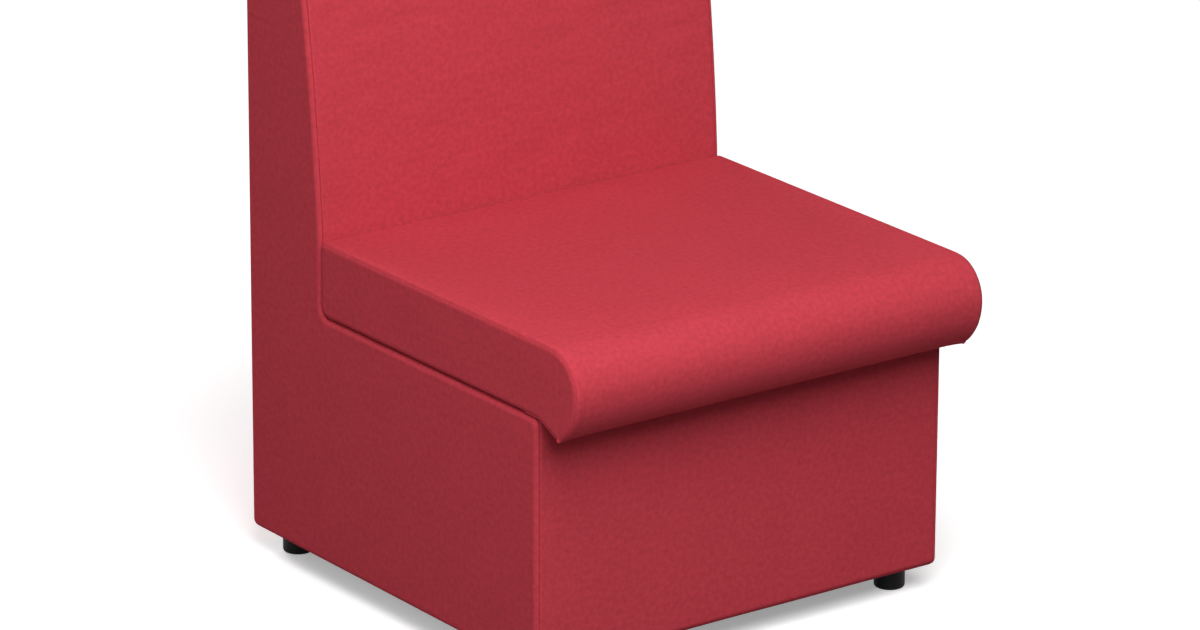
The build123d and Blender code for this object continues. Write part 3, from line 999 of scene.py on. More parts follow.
@dataclass(kw_only=True)
class SidePanel(Cover):
    """A flat cover on one side, with a rounded rim, bounded by a closed contour in the side view.

    The contour runs anticlockwise in the plane of Y and Z. It is cut at six landmarks into the sides of a
    patch that follows the panel's shape, from which the flat part of the panel is worked out.
    """

    side: Side
    contour: Array
    landmarks: Array
    counts: Counts
    flap_x: float
    flap: Rule
    samples: int = 12000
    fade: float = 12 * MM

    def outline(self) -> Array:
        """Places the contour's points, with equal counts on the sides that face each other.

        Returns:
            The points, one row each, from the first landmark on and without a closing copy.
        """
        path = np.vstack([self.contour, self.contour[:1]])
        total = travelled(path)
        dense = read_off(path, total, np.linspace(0, total[-1], self.samples + 1)[:-1])
        marks = [int(np.argmin(((dense - mark) ** 2).sum(1))) for mark in self.landmarks]
        dense = np.roll(dense, -marks[0], axis=0)
        marks = [(mark - marks[0]) % len(dense) for mark in marks] + [len(dense)]
        dense = np.vstack([dense, dense[:1]])
        near, far, end = self.counts
        return np.vstack([
            spread(dense[first:last + 1], self.line_step, self.turn_step, count + 1)[:-1]
            for first, last, count in zip(marks, marks[1:], (near, far, end, far, near, end))
        ])

    def section(self) -> Array:
        """Distances inwards from the side plane of the rings between the seam and the side plane."""
        roll = self.half_width - self.seam_x - self.roll.places()
        rim = self.rim * (1 - np.sin(quarter(12)))
        return np.r_[roll, rim[rim < roll[-1] - NEAR / 2]]

    def patch(self, ring: Array) -> Array:
        """Fills a closed ring with a patch worked out from its four sides.

        A point is the blend of the two long sides, plus the blend of the two short sides, less the
        blend of the four corners.

        Args:
            ring: Points of the ring, in the order of the contour.

        Returns:
            The points of the patch, its rows from one long side to the other.
        """
        near, far, end = self.counts
        long = near + far
        closed = np.vstack([ring, ring[:1]])
        outer = closed[:long + 1]
        last = closed[long:long + end + 1]
        inner = closed[long + end:2 * long + end + 1][::-1]
        first = closed[2 * long + end:][::-1]
        a = np.linspace(0, 1, long + 1)[None, :, None]
        b = np.linspace(0, 1, end + 1)[:, None, None]
        lengthwise = (1 - b) * outer[None] + b * inner[None]
        crosswise = (1 - a) * first[:, None] + a * last[:, None]
        corners = (1 - a) * ((1 - b) * outer[0] + b * inner[0]) + a * ((1 - b) * outer[-1] + b * inner[-1])
        return lengthwise + crosswise - corners

    def build(self) -> Piece:
        """Makes the panel: rings over the seam's roll and the rim, then the flat patch.

        A ring's point is the contour's point less its outward normal times the depth of the roll and the
        rim. The flat cloth is the same rings laid out by their own length from the patch.

        Returns:
            The piece.
        """
        path = self.outline()
        normal = outward(path, closed=True)
        radius = self.rim_at(path)
        flapped = self.flap(path)
        out = self.section()[:, None]
        seam_distance = self.half_width - self.seam_x - out
        puckers = self.softness.puckers(travelled(path)[None], seam_distance) * (out > 0.3 * MM)
        depth = round_drop(out, radius[None]) + (self.roll.drop(seam_distance) - puckers) * (1 - flapped)
        place = np.vstack([np.where(flapped > 0, self.flap_x, self.seam_x),
                           np.broadcast_to(self.half_width - out, depth.shape)])
        depth = np.vstack([np.where(flapped > 0, 0, depth[0]), depth])
        steps = np.hypot(np.diff(place, axis=0), np.diff(depth, axis=0))
        run = np.vstack([np.cumsum(steps[::-1], axis=0)[::-1], np.zeros((1, len(path)))])
        rings, cloth = (path - normal * inwards[:, :, None] for inwards in (depth, depth[-1] - run))
        inner = self.patch(rings[-1])
        flat_x = np.full(inner.shape[:2], self.half_width)
        parts = np.dstack([place, rings]), np.dstack([flat_x, inner])
        points = np.vstack([part.reshape(-1, 3) for part in parts])
        points[:, 0] = (points[:, 0] + self.puff(points, path, radius)) * self.side.value
        quads = np.vstack([grid_quads(*place.shape, closed=True), grid_quads(*flat_x.shape) + place.size])
        return self.make(points, quads, np.vstack([cloth.reshape(-1, 2), inner.reshape(-1, 2)]))

    def puff(self, points: Array, path: Array, radius: Array) -> Array:
        """How far the padding pushes the flat part of the panel outwards.

        The push is the unevenness, which fades in with the square of the distance inwards from the flat
        part's own edge, plus the swell.

        Args:
            points: Points of the panel.
            path: Points of the contour.
            radius: Radius of the rim at each point of the contour.

        Returns:
            The push of each point.
        """
        push = np.zeros(len(points))
        flat = np.flatnonzero(points[:, 0] > self.half_width - NEAR / 10)
        for chunk in np.array_split(flat, 12):
            gap = points[chunk, None, 1:] - path[None]
            inward = np.clip((np.sqrt((gap**2).sum(2)) - radius[None]).min(1), 0, None)
            soft = self.softness.unequal(points[chunk, 1], points[chunk, 2])
            push[chunk] = soft * np.clip(inward / self.fade, 0, 1) ** 2
            if self.swell:
                push[chunk] += self.swell.side(points[chunk, 1:])
        return push


@dataclass
class Upholstery(ABC):
    """A padded form in sewn covers, which are blown up from inside by one simulation."""

    sizes: SeatSizes
    cloth: Material
    form: str
    side_node: str
    side_seed: int
    side_counts: Counts
    form_counts: Counts
    fill: float
    thickness: float
    seam_inset: float
    rim: float
    strip_rim: float
    roll: SeamRoll
    softness: Softness
    inflation: Inflation
    swell: Swell | None = None

    @property
    @abstractmethod
    def inside(self) -> Place:
        """A point inside the form."""

    @property
    @abstractmethod
    def flap_x(self) -> float:
        """How near the middle the side covers' flaps reach."""

    @abstractmethod
    def landmarks(self) -> Array:
        """The six corners of the side's outline, anticlockwise."""

    @abstractmethod
    def contour(self) -> Array:
        """Closed outline of the side in the side view, anticlockwise."""

    @abstractmethod
    def flap(self, path: Array) -> Array:
        """1 where a side cover turns in, and 0 where it is sewn."""

    @abstractmethod
    def held(self, points: Array) -> Array:
        """True for the points of the form that stay in place when it is blown up."""

    @abstractmethod
    def lift(self, path: Array, across: Array) -> Array:
        """Move of each point of a grid under a plain crown."""

    def rim_at(self, path: Array) -> Array:
        """Radius of the side rim along a path."""
        return np.full(len(path), self.rim)

    def settle(self, points: Array) -> Array:
        """Last move of the points of a cover that spans the seat."""
        return points

    def fit(self, node: str, seed: int, rim: float) -> dict[str, Any]:
        """Settings that every cover of this form takes.

        Args:
            node: The solid that the cover stands for.
            seed: Picks its unevenness.
            rim: Radius of its rim at the sides.

        Returns:
            The settings by name.
        """
        half_width = self.sizes.half_width
        return {
            "name": node + "_cloth", "half_width": half_width, "seam_x": half_width - self.seam_inset,
            "roll": self.roll, "softness": replace(self.softness, seed=seed), "thickness": self.thickness,
            "inside": self.inside, "rim": rim, "rim_at": self.rim_at, "swell": self.swell,
        }

    def strip(self, node: str, corners: Array, radii: Sequence[float], seed: int,
              ends: tuple[bool, bool] = (False, False)) -> None:
        """Makes one cover that spans the seat.

        Args:
            node: The solid that it stands for.
            corners: Corners of its profile in the side view.
            radii: Radius of each corner.
            seed: Picks its unevenness.
            ends: Whether its first and its last edge are seams.
        """
        cover = StripCover(**self.fit(node, seed, self.strip_rim), profile=round_path(corners, radii),
                           ends=ends, settle=self.settle)
        stand_in(cover.build(), self.cloth, node)

    def panel(self, side: Side, counts: Counts) -> SidePanel:
        """Lays out the cover of one side.

        Args:
            side: Which side.
            counts: Numbers of points on the sides of its patch.

        Returns:
            The panel, not yet made.
        """
        fit = self.fit(self.side_node + side.word, self.side_seed + side.value, self.rim)
        return SidePanel(**fit, side=side, contour=self.contour(), landmarks=self.landmarks(),
                         counts=counts, flap_x=self.flap_x, flap=self.flap)

    def blow_up(self) -> None:
        panel = self.panel(Side.RIGHT, self.form_counts)
        outline = panel.outline()
        form = PaddedForm(self.form, outline, panel.patch(outline), self.sizes.half_width)
        self.swell = form.blow_up(self.inflation, self.held)

    @abstractmethod
    def strips(self) -> None:
        """Makes the covers that span the seat."""

    def build(self) -> None:
        """Blows the form up and makes its covers."""
        self.blow_up()
        self.strips()
        for side in Side:
            piece = self.panel(side, self.side_counts).build()
            stand_in(piece, self.cloth, self.side_node + side.word)


@dataclass
class Body(Upholstery):
    """The upholstered base and backrest: five fitted covers over the padded frame."""

    form: str = "body_form"
    side_node: str = "side_cover_"
    side_seed: int = 41
    side_counts: Counts = (200, 150, 90)
    form_counts: Counts = (26, 24, 12)
    fill: float = 0.95
    thickness: float = 1.8 * MM
    seam_inset: float = 6 * MM
    rim: float = 7 * MM
    strip_rim: float = 0.0
    roll: SeamRoll = SeamRoll(width=2.2 * MM, depth=2.2 * MM)
    softness: Softness = Softness(0.35 * MM, 130 * MM, 0.22 * MM, 14 * MM, 5 * MM)
    inflation: Inflation = Inflation(pressure=0.12, most=2.5 * MM)
    crown: float = 1.2 * MM
    foam_start: float = 50 * MM
    meeting_share: float = 0.999

    @property
    def inside(self) -> Place:
        """The middle of the backrest."""
        size = self.sizes
        return 0.0, (size.face_y + size.rear_y) / 2, (size.bottom_z + size.top_z) / 2

    @property
    def flap_x(self) -> float:
        """The inner face of the side frame."""
        return self.sizes.frame_inner_x

    def landmarks(self) -> Array:
        """The six corners of the side's outline, anticlockwise."""
        size = self.sizes
        return np.array([
            (size.front_y, size.bottom_z), (size.rear_y, size.bottom_z), (size.rear_y, size.top_z),
            (size.back_face(size.top_z), size.top_z), (size.face_y, size.deck_z),
            (size.front_y, size.deck_z),
        ])

    def contour(self) -> Array:
        """Closed outline of the side in the side view, anticlockwise."""
        size, corners = self.sizes, self.landmarks()
        face = size.back_corners()
        radii = [size.corner] * 4 + [0] * (len(face) - 2) + [size.back_bend, size.notch, size.corner]
        return round_path(np.vstack([corners[:3], face, corners[4:]]), radii, closed=True)

    def strips(self) -> None:
        """Makes the covers of the base's front, the backrest's front and the rear."""
        size = self.sizes
        corner = size.corner
        top_rear = (size.rear_y - corner, size.top_z)
        self.strip("base_front_cover", np.array([
            (size.panel_rear_y, size.deck_z), (size.front_y, size.deck_z),
            (size.front_y, size.bottom_z), (size.panel_rear_y, size.bottom_z),
        ]), (0, corner, corner, 0), 11)
        face = size.back_corners()
        deck = [(size.face_y, size.deck_z), (size.rail_front_y, size.deck_z)]
        radii = [0, corner, *[0] * (len(face) - 2), size.back_bend, size.notch, 0]
        self.strip("back_cover", np.vstack([[top_rear], face, deck]), radii, 23, ends=(True, False))
        self.strip("rear_cover", np.array([
            (size.rear_lip_y, size.bottom_z), (size.rear_y, size.bottom_z),
            (size.rear_y, size.top_z), top_rear,
        ]), (0, corner, corner * self.meeting_share, 0), 37, ends=(False, True))

    def flap(self, path: Array) -> Array:
        """1 where a side cover turns in over the deck or under the base, and 0 where it is sewn."""
        y, z = path.T
        size = self.sizes
        deck = (np.abs(z - size.deck_z) < NEAR) & (y < size.rail_front_y)
        under = (np.abs(z - size.bottom_z) < NEAR) & (y < size.rear_lip_y)
        return ((deck | under) & (y > size.panel_rear_y)).astype(float)

    def held(self, points: Array) -> Array:
        """True for all the points but those of the backrest's foam above the seat: the rest is taut."""
        size = self.sizes
        y, z = points[:, 1], points[:, 2]
        front = (y < size.above_seat(z) + 2 * MM) & (y > size.front_y + self.foam_start)
        return ~(front & (z > size.seat_z) & (z < size.top_z - size.corner))

    def lift(self, path: Array, across: Array) -> Array:
        """Pushes the front of the backrest forward: a crown times 1 - (x / half width)^4 and a sine.

        Args:
            path: Points of the outline, one for each row.
            across: Places along X, one for each column.

        Returns:
            The move of each point, where the sine is that of the height's share of half a turn.
        """
        size = self.sizes
        y, z = path.T
        share = np.clip((z - size.seat_z) / (size.top_z - size.seat_z), 0, 1)
        front = y < size.above_seat(z) + 1 * MM
        crown = self.crown * (1 - (across / size.half_width) ** 4)
        forward = -(np.sin(share * math.pi) * front)[:, None] * crown
        return np.dstack([np.zeros_like(forward), forward, np.zeros_like(forward)])


@dataclass
class Cushion(Upholstery):
    """The seat cushion: a nosed, crowned form in four sewn panels."""

    form: str = "cushion_form"
    side_node: str = "seat_side_cover_"
    side_seed: int = 61
    side_counts: Counts = (24, 150, 40)
    form_counts: Counts = (6, 44, 8)
    fill: float = 0.9
    thickness: float = 1.7 * MM
    seam_inset: float = 3 * MM
    rim: float = 7.5 * MM
    strip_rim: float = 7.5 * MM
    roll: SeamRoll = SeamRoll(width=0.9 * MM, depth=0.6 * MM)
    softness: Softness = Softness(0.4 * MM, 150 * MM, 0.12 * MM, 17 * MM, 6 * MM)
    inflation: Inflation = Inflation(pressure=0.13)
    nose_middle_drop: float = 51 * MM
    tip_setback: float = 35 * MM
    heel_lead: float = 3 * MM
    rear_radius: float = 8 * MM
    seam_setback: float = 3 * MM
    turn_under: float = 25 * MM
    tip_radius: float = 2.2 * MM
    tip_rim: float = 1.4 * MM
    tip_flare: float = 1.1
    tip_hold: float = 4 * MM
    tip_tuck: tuple[float, float] = (1.0 * MM, 2.4 * MM)
    ear: float = 14 * MM
    tuck_reach: float = 13 * MM
    heel_radius: float = 4 * MM

    @property
    def inside(self) -> Place:
        """The middle of the cushion."""
        return 0.0, 0.0, (self.sizes.cushion_bottom_z + self.sizes.seat_z) / 2

    @property
    def flap_x(self) -> float:
        """How near the middle the side panels turn in under the board."""
        return self.sizes.half_width - self.turn_under

    @property
    def tip(self) -> Array:
        """Point of the nose in the side view."""
        return np.array([self.sizes.nose_front_y + self.tip_setback, self.sizes.tip_z])

    @property
    def heel(self) -> Array:
        """Where the slanting underside of the nose meets the flat bottom."""
        return np.array([self.sizes.front_y - self.heel_lead, self.sizes.cushion_bottom_z])

    @property
    def seam_point(self) -> Array:
        """Where the top and under panels are sewn together, behind the tip."""
        run = self.heel - self.tip
        return self.tip + run * (self.seam_setback + self.tip_radius) / np.linalg.norm(run)

    @property
    def nose_middle_z(self) -> float:
        """Height of the most forward line of the nose."""
        return self.sizes.seat_z - self.nose_middle_drop

    def nose(self) -> Array:
        """The nose from its top to its tip: a quarter circle, then a wider arc to the tip."""
        front, radius = self.sizes.nose_front_y, self.nose_middle_drop
        turn = np.linspace(math.pi / 2, math.pi, 31)[:, None]
        centre = np.array([front + radius, self.nose_middle_z])
        upper = centre + radius * np.hstack([np.cos(turn), np.sin(turn)])
        drop = self.nose_middle_z - self.sizes.tip_z
        lip = (drop**2 + self.tip_setback**2) / (2 * self.tip_setback)
        turn = np.linspace(0, math.asin(drop / lip), 23)[1:, None]
        lower = np.hstack([front + lip * (1 - np.cos(turn)), self.nose_middle_z - lip * np.sin(turn)])
        return np.vstack([upper, lower])

    def rim_at(self, path: Array) -> Array:
        """Radius of the side rim along a path, small at the pointed tip."""
        distance = np.linalg.norm(path - self.tip, axis=1)
        return np.minimum(self.rim, self.tip_rim + self.tip_flare * distance)

    def lift(self, path: Array, across: Array) -> Array:
        """Raises the cushion towards the middle of its width.

        The crown falls off as 1 - (x / half width)^2. It is full on the top and fades down the nose and
        the rear face with the height.

        Args:
            path: Points of the outline, one for each row.
            across: Places along X, one for each column.

        Returns:
            The move of each point.
        """
        size = self.sizes
        y, z = path.T
        low = np.where(y < size.front_y, self.nose_middle_z, size.cushion_bottom_z)
        share = np.clip((z - low) / (size.seat_z - low), 0, 1)
        crown = size.crown * (1 - (across / size.half_width) ** 2)
        up = np.sin(share * math.pi / 2)[:, None] * crown
        return np.dstack([np.zeros_like(up), np.zeros_like(up), up])

    def held(self, points: Array) -> Array:
        """True for the points of the form that rest on the board or lie at the pointed tip."""
        size = self.sizes
        on_board = (points[:, 2] < size.cushion_bottom_z + 5 * NEAR) & (points[:, 1] > size.front_y)
        return on_board | (np.linalg.norm(points[:, 1:] - self.tip, axis=1) < self.tip_hold)

    def settle(self, points: Array) -> Array:
        """Draws the seam along the tip up and back, but for its ends, which hang as small ears.

        A point moves by the tuck times 1 - exp(-e / ear) and exp(-(d / reach)^2), where e is the distance
        from the end of the seam and d the distance from the tip.

        Args:
            points: Points of a panel.

        Returns:
            The moved points.
        """
        end = np.clip(self.sizes.half_width - np.abs(points[..., 0]), 0, None)
        distance = np.linalg.norm(points[..., 1:] - self.tip, axis=-1)
        share = (1 - np.exp(-end / self.ear)) * np.exp(-(distance / self.tuck_reach) ** 2)
        return points + share[..., None] * np.array([0, *self.tip_tuck])

    def landmarks(self) -> Array:
        """The six corners of the side's outline, anticlockwise."""
        size = self.sizes
        return np.array([
            self.tip, self.heel, (size.cushion_rear_y, size.cushion_bottom_z),
            (size.cushion_rear_y, size.seat_z), (size.nose_front_y + self.nose_middle_drop, size.seat_z),
            (size.nose_front_y, self.nose_middle_z),
        ])

    def contour(self) -> Array:
        """Closed outline of the side in the side view, anticlockwise."""
        nose = self.nose()
        first = [self.heel_radius, self.sizes.notch, self.rear_radius]
        radii = [*first, *[0] * (len(nose) - 1), self.tip_radius]
        return round_path(np.vstack([self.landmarks()[1:4], nose]), radii, closed=True)

    def strips(self) -> None:
        """Makes the panel over the top, nose and tip, and the one under the nose."""
        size, nose, rear = self.sizes, self.nose(), self.landmarks()[2:4]
        start = (size.cushion_rear_y - self.turn_under, size.cushion_bottom_z)
        corners = np.vstack([[start], rear, nose, [self.seam_point]])
        radii = [0, size.notch, self.rear_radius, *[0] * (len(nose) - 1), self.tip_radius, 0]
        self.strip("seat_top_cover", corners, radii, 53, ends=(False, True))
        end = (size.front_y + self.turn_under, size.cushion_bottom_z)
        corners = np.array([self.seam_point, self.heel, end])
        self.strip("seat_under_cover", corners, (0, self.heel_radius, 0), 59, ends=(True, False))

    def flap(self, path: Array) -> Array:
        """1 where a side panel turns in under the board, and 0 where it is sewn."""
        y, z = path.T
        size = self.sizes
        between = (y > size.front_y + self.turn_under) & (y < size.cushion_rear_y - self.turn_under)
        return ((np.abs(z - size.cushion_bottom_z) < NEAR) & between).astype(float)


# Padding, lining and feet

@dataclass
class Pad:
    """A closed pad that runs across the seat: the space between an outer and an inner curve."""

    name: str
    outer: Array
    inner: Array
    half_width: float
    edge: float = 3 * MM
    carve: Rule | None = None
    extra_columns: tuple[float, ...] = ()
    swell: Swell | None = None
    columns: int = 23
    most_pull: float = 0.45

    def build(self) -> Piece:
        """Makes the pad: the loop of both curves carried across, with rounded ends and flat caps.

        Towards an end the place across is w - r + r * sin(t), and each point moves towards its partner
        on the other curve by r * (1 - cos(t)).

        Returns:
            The piece.
        """
        partner = np.vstack([self.inner, self.outer[::-1]])
        loop = np.vstack([self.outer, self.inner[::-1]])
        start = self.half_width - self.edge
        flat = np.linspace(0, start, self.columns + 1)[:-1]
        half = np.r_[flat, start + self.edge * np.sin(quarter(5)), self.extra_columns]
        half = np.unique(np.round(half, 7))
        across = np.r_[-half[:0:-1], half]
        shrink = round_drop(self.half_width - np.abs(across), self.edge)
        gap = partner - loop
        reach = np.maximum(np.linalg.norm(gap, axis=1), 1e-6)
        section = loop + np.minimum(shrink[:, None] / reach, self.most_pull)[:, :, None] * gap
        points = np.dstack([np.broadcast_to(across[:, None], section.shape[:2]), section])
        if self.carve:
            points = self.carve(points)
        if self.swell:
            points = points + self.swell.at(loop, across).transpose(1, 0, 2)
        rows, around = points.shape[:2]
        count = len(self.outer)
        caps = [np.vstack([points[end, :count], points[end, count:][::-1]]) for end in (0, -1)]
        cap_quads = grid_quads(2, count) + rows * around
        quads = np.vstack([grid_quads(rows, around, closed=True), cap_quads, cap_quads + 2 * count])
        piece = mesh_piece(self.name, np.vstack([points.reshape(-1, 3), *caps]), quads)
        clean(piece, closed=True)
        return piece


@dataclass
class Padding:
    """The foam and wadding under the covers, a slack smaller than the space that they have."""

    body: Body
    cushion: Cushion
    foam: Material
    wadding: Material
    cloth: float = 2 * MM
    slack: float = 0.5 * MM
    wrap: float = 8 * MM
    back_depth: float = 20 * MM
    seat_rear_radius: float = 14 * MM
    side_rim: float = 5 * MM
    side_thickness: float = 4.6 * MM
    seat_edge: float = 5 * MM
    wadding_edge: float = 2 * MM
    floor_rows: int = 60
    slant_rows: int = 12
    back_rows: int = 90
    front_rows: int = 80
    bend: float = math.radians(9)

    def lay(self, pad: Pad | SidePanel, node: str, slot: str = "wadding") -> None:
        """Makes a pad of foam or wadding in place of its solid."""
        stand_in(pad.build(), self.foam if slot == "foam" else self.wadding, node)

    def seat(self) -> None:
        """The cushion's foam: its outline, inset by the cloth, with a pocket for the board below."""
        size, cushion, big = self.body.sizes, self.cushion, self.seat_rear_radius
        low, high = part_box("seat_foam")
        rear_y, half_width = high.y - self.slack, high.x - 3 * self.slack
        nose = inset(cushion.nose(), self.cloth + self.slack)
        tip = np.array([nose[-1, 0] + self.cloth, low.z + 2 * self.slack])
        edges = np.array([size.board_front_y, size.board_rear_y])
        rows = np.linspace(size.front_y, rear_y - big, self.floor_rows)
        floor_y = np.unique(np.r_[rows, edges, edges + 3 * NEAR])[::-1]
        board_z = size.cushion_bottom_z + self.cloth
        turn = quarter(9)
        corner = np.column_stack([rear_y - big * (1 - np.cos(turn)), board_z + big * (1 - np.sin(turn))])
        slant = np.linspace(0, 1, self.slant_rows)[1:, None]
        inner = np.vstack([corner, np.column_stack([floor_y, np.full(len(floor_y), board_z)])[1:],
                           np.array([size.front_y, board_z]) * (1 - slant) + tip * slant])
        top_z = size.seat_z - self.cloth - self.slack
        top_path = np.vstack([corner[:1], [(rear_y, top_z)], nose[:-1], tip[None]])
        path = round_path(top_path, [0, cushion.rear_radius - self.cloth, *[0] * (len(top_path) - 2)])
        half_board = size.board_side_x

        def pocket(points: Array) -> Array:
            """Lifts the underside to the top of the board, over the board, and tucks the tip."""
            x, y, z = points[..., 0], points[..., 1], points[..., 2]
            over = (np.abs(x) < half_board + NEAR) & (y > edges[0] - NEAR) & (y < edges[1] + NEAR)
            below = np.abs(z - board_z) < NEAR
            return cushion.settle(np.dstack([x, y, np.where(over & below, size.board_top_z, z)]))

        pad = Pad("seat_foam_block", spread(path, 3 * MM, self.bend, len(inner)), inner, half_width,
                  edge=self.seat_edge, carve=pocket, extra_columns=(half_board, half_board + 3 * NEAR),
                  swell=cushion.swell)
        self.lay(pad, "seat_foam", "foam")

    def back(self) -> None:
        """The backrest's foam, from the deck to the top rail."""
        size = self.body.sizes
        low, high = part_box("back_foam")
        face = size.back_corners()
        corners = np.vstack([face, [(size.face_y, size.deck_z), (size.rail_front_y, size.deck_z)]])
        radii = [0] * (len(face) - 1) + [size.back_bend, size.notch, 0]
        path = inset(round_path(corners, radii), self.cloth + self.slack)
        path = path[(path[:, 1] < high.z) & (path[:, 1] > low.z)]
        outer = spread(path, 6 * MM, math.radians(6), self.back_rows)
        height = np.linspace(high.z, low.z, self.back_rows)
        inner = np.column_stack([size.above_seat(height) + self.cloth + self.back_depth, height])
        self.lay(Pad("back_foam_sheet", outer, inner, high.x), "back_foam", "foam")

    def front(self) -> None:
        """The wadding over the front panel and its top edge."""
        low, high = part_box("base_front_padding")
        wrap, front_y, top_z = self.wrap, low.y + self.slack, high.z - self.slack
        corners = np.array([(high.y, top_z), (front_y, top_z), (front_y, low.z), (low.y + wrap, low.z)])
        inner = np.array([(high.y, high.z - wrap), (low.y + wrap, high.z - wrap),
                          (low.y + wrap, low.z + self.slack)])
        curves = [spread(path, 4 * MM, self.bend, self.front_rows)
                  for path in (round_path(corners, (0, wrap, wrap - 2 * self.slack, 0)), inner)]
        self.lay(Pad("base_front_wadding", *curves, high.x, self.wadding_edge), "base_front_padding")

    def top(self) -> None:
        """The wadding on the top rail."""
        low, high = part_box("top_padding")
        wrap = self.wrap
        turn = wrap * (1 - np.cos(quarter(10)))
        y = np.r_[high.y - turn, np.linspace(high.y - wrap, low.y + wrap, 22)[1:-1], low.y + turn[::-1]]
        drop = round_drop(np.minimum(y - low.y, high.y - y), wrap)
        outer = np.column_stack([y, np.maximum(high.z - self.slack - drop, low.z + self.slack)])
        inner = np.column_stack([y, np.full(len(y), low.z)])
        self.lay(Pad("top_wadding", outer, inner, high.x, self.wadding_edge), "top_padding")

    def side(self, side: Side) -> None:
        """The wadding over a side frame, wrapped over its front, top and deck edges."""
        name = "side_padding_" + side.word
        low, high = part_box(name)
        inner_x, outer_x = sorted((abs(low.x), abs(high.x)))

        def wrapped(path: Array) -> Array:
            """1 where the wadding wraps over the frame's edge, and 0 where it ends flush."""
            y, z = path.T
            return ((z >= low.z + 1 * MM) & (y <= high.y - 1 * MM)).astype(float)

        self.lay(SidePanel(
            name=name + "_wadding", side=side, landmarks=self.body.landmarks(), counts=(120, 90, 50),
            contour=inset(self.body.contour(), self.cloth + 2 * self.slack, closed=True),
            half_width=outer_x, seam_x=outer_x - self.wrap, flap_x=inner_x, flap=wrapped,
            rim=self.side_rim, rim_at=lambda path: np.full(len(path), self.side_rim),
            roll=SeamRoll(width=0.5 * MM, depth=0.0), thickness=self.side_thickness,
            softness=Softness(0.2 * MM, 90 * MM, 0.0, 15 * MM, 5 * MM, 71), inside=self.body.inside,
            line_step=5 * MM, turn_step=math.radians(15),
        ), name)

    def build(self) -> None:
        """Makes all the padding."""
        self.seat()
        self.back()
        self.front()
        self.top()
        for side in Side:
            self.side(side)


@dataclass
class DustCover:
    """The black lining stretched under the base, hemmed all round and cut out at the feet."""

    lining: Material
    cut: float = 54 * MM
    hem: float = 12 * MM
    hem_drop: float = 0.5 * MM
    hem_slope: float = 0.5 * MM
    sag: float = 1.4 * MM
    pitch: float = 40 * MM
    tug: float = 0.5 * MM
    tug_reach: float = 14 * MM
    thickness: float = 0.5 * MM
    edge_lines: tuple[float, ...] = (0, 1, 3, 6, 9, 10.5, 11.5, 12.5, 13.5, 16)

    def stations(self, low: float, high: float) -> Array:
        """Places along one direction, with lines at the cuts and close together over the hems."""
        edge = np.array(self.edge_lines) * MM
        inner = np.linspace(low + self.cut, high - self.cut, 90)
        near = np.linspace(low + 20 * MM, low + self.cut, 9)
        lower = np.r_[low + edge, near, low + edge + self.cut]
        return np.unique(np.round(np.r_[lower, inner, low + high - lower], 6))

    def build(self) -> None:
        """Makes the sheet.

        Its height falls by the sag times (1 - u^2)(1 - v^2), where u and v go from -1 to 1 across it, by
        the hem's own drop near the edge, and rises a little at each staple along the edge.
        """
        low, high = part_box("dust_cover")
        middle, half = (low + high) / 2, (high - low) / 2
        x, y = self.stations(low.x, high.x), self.stations(low.y, high.y)
        across, along = np.meshgrid(x, y)
        gap_x, gap_y = half.x - np.abs(across - middle.x), half.y - np.abs(along - middle.y)
        u, v = 1 - gap_x / half.x, 1 - gap_y / half.y
        border = np.minimum(np.minimum(gap_x, gap_y), np.maximum(np.maximum(gap_x, gap_y) - self.cut, 0))
        folded = 1 / (1 + np.exp((border - self.hem) / self.hem_slope))
        run = np.where(gap_x < gap_y, along, across)
        staples = (1 + np.cos(2 * math.pi * run / self.pitch)) / 2 * np.exp(-border / self.tug_reach)
        top = high.z - NEAR - self.thickness
        height = top - self.sag * (1 - u**2) * (1 - v**2) - self.hem_drop * folded + self.tug * staples
        points = np.dstack([across, along, height]).reshape(-1, 3)
        quads = grid_quads(len(y), len(x))
        centre = points[quads][:, :, :2].mean(1) - np.array([middle.x, middle.y])
        away = (np.abs(centre) > np.array([half.x - self.cut, half.y - self.cut])).all(axis=1)
        quads = quads[~away]
        used, number = np.unique(quads, return_inverse=True)
        points, quads = points[used], number.reshape(quads.shape)
        piece = mesh_piece("dust_cover_lining", points, quads, points[:, :2])
        face_outwards(piece, (middle.x, middle.y, high.z + 0.2))
        thicken(piece, self.thickness)
        stand_in(piece, self.lining, "dust_cover")


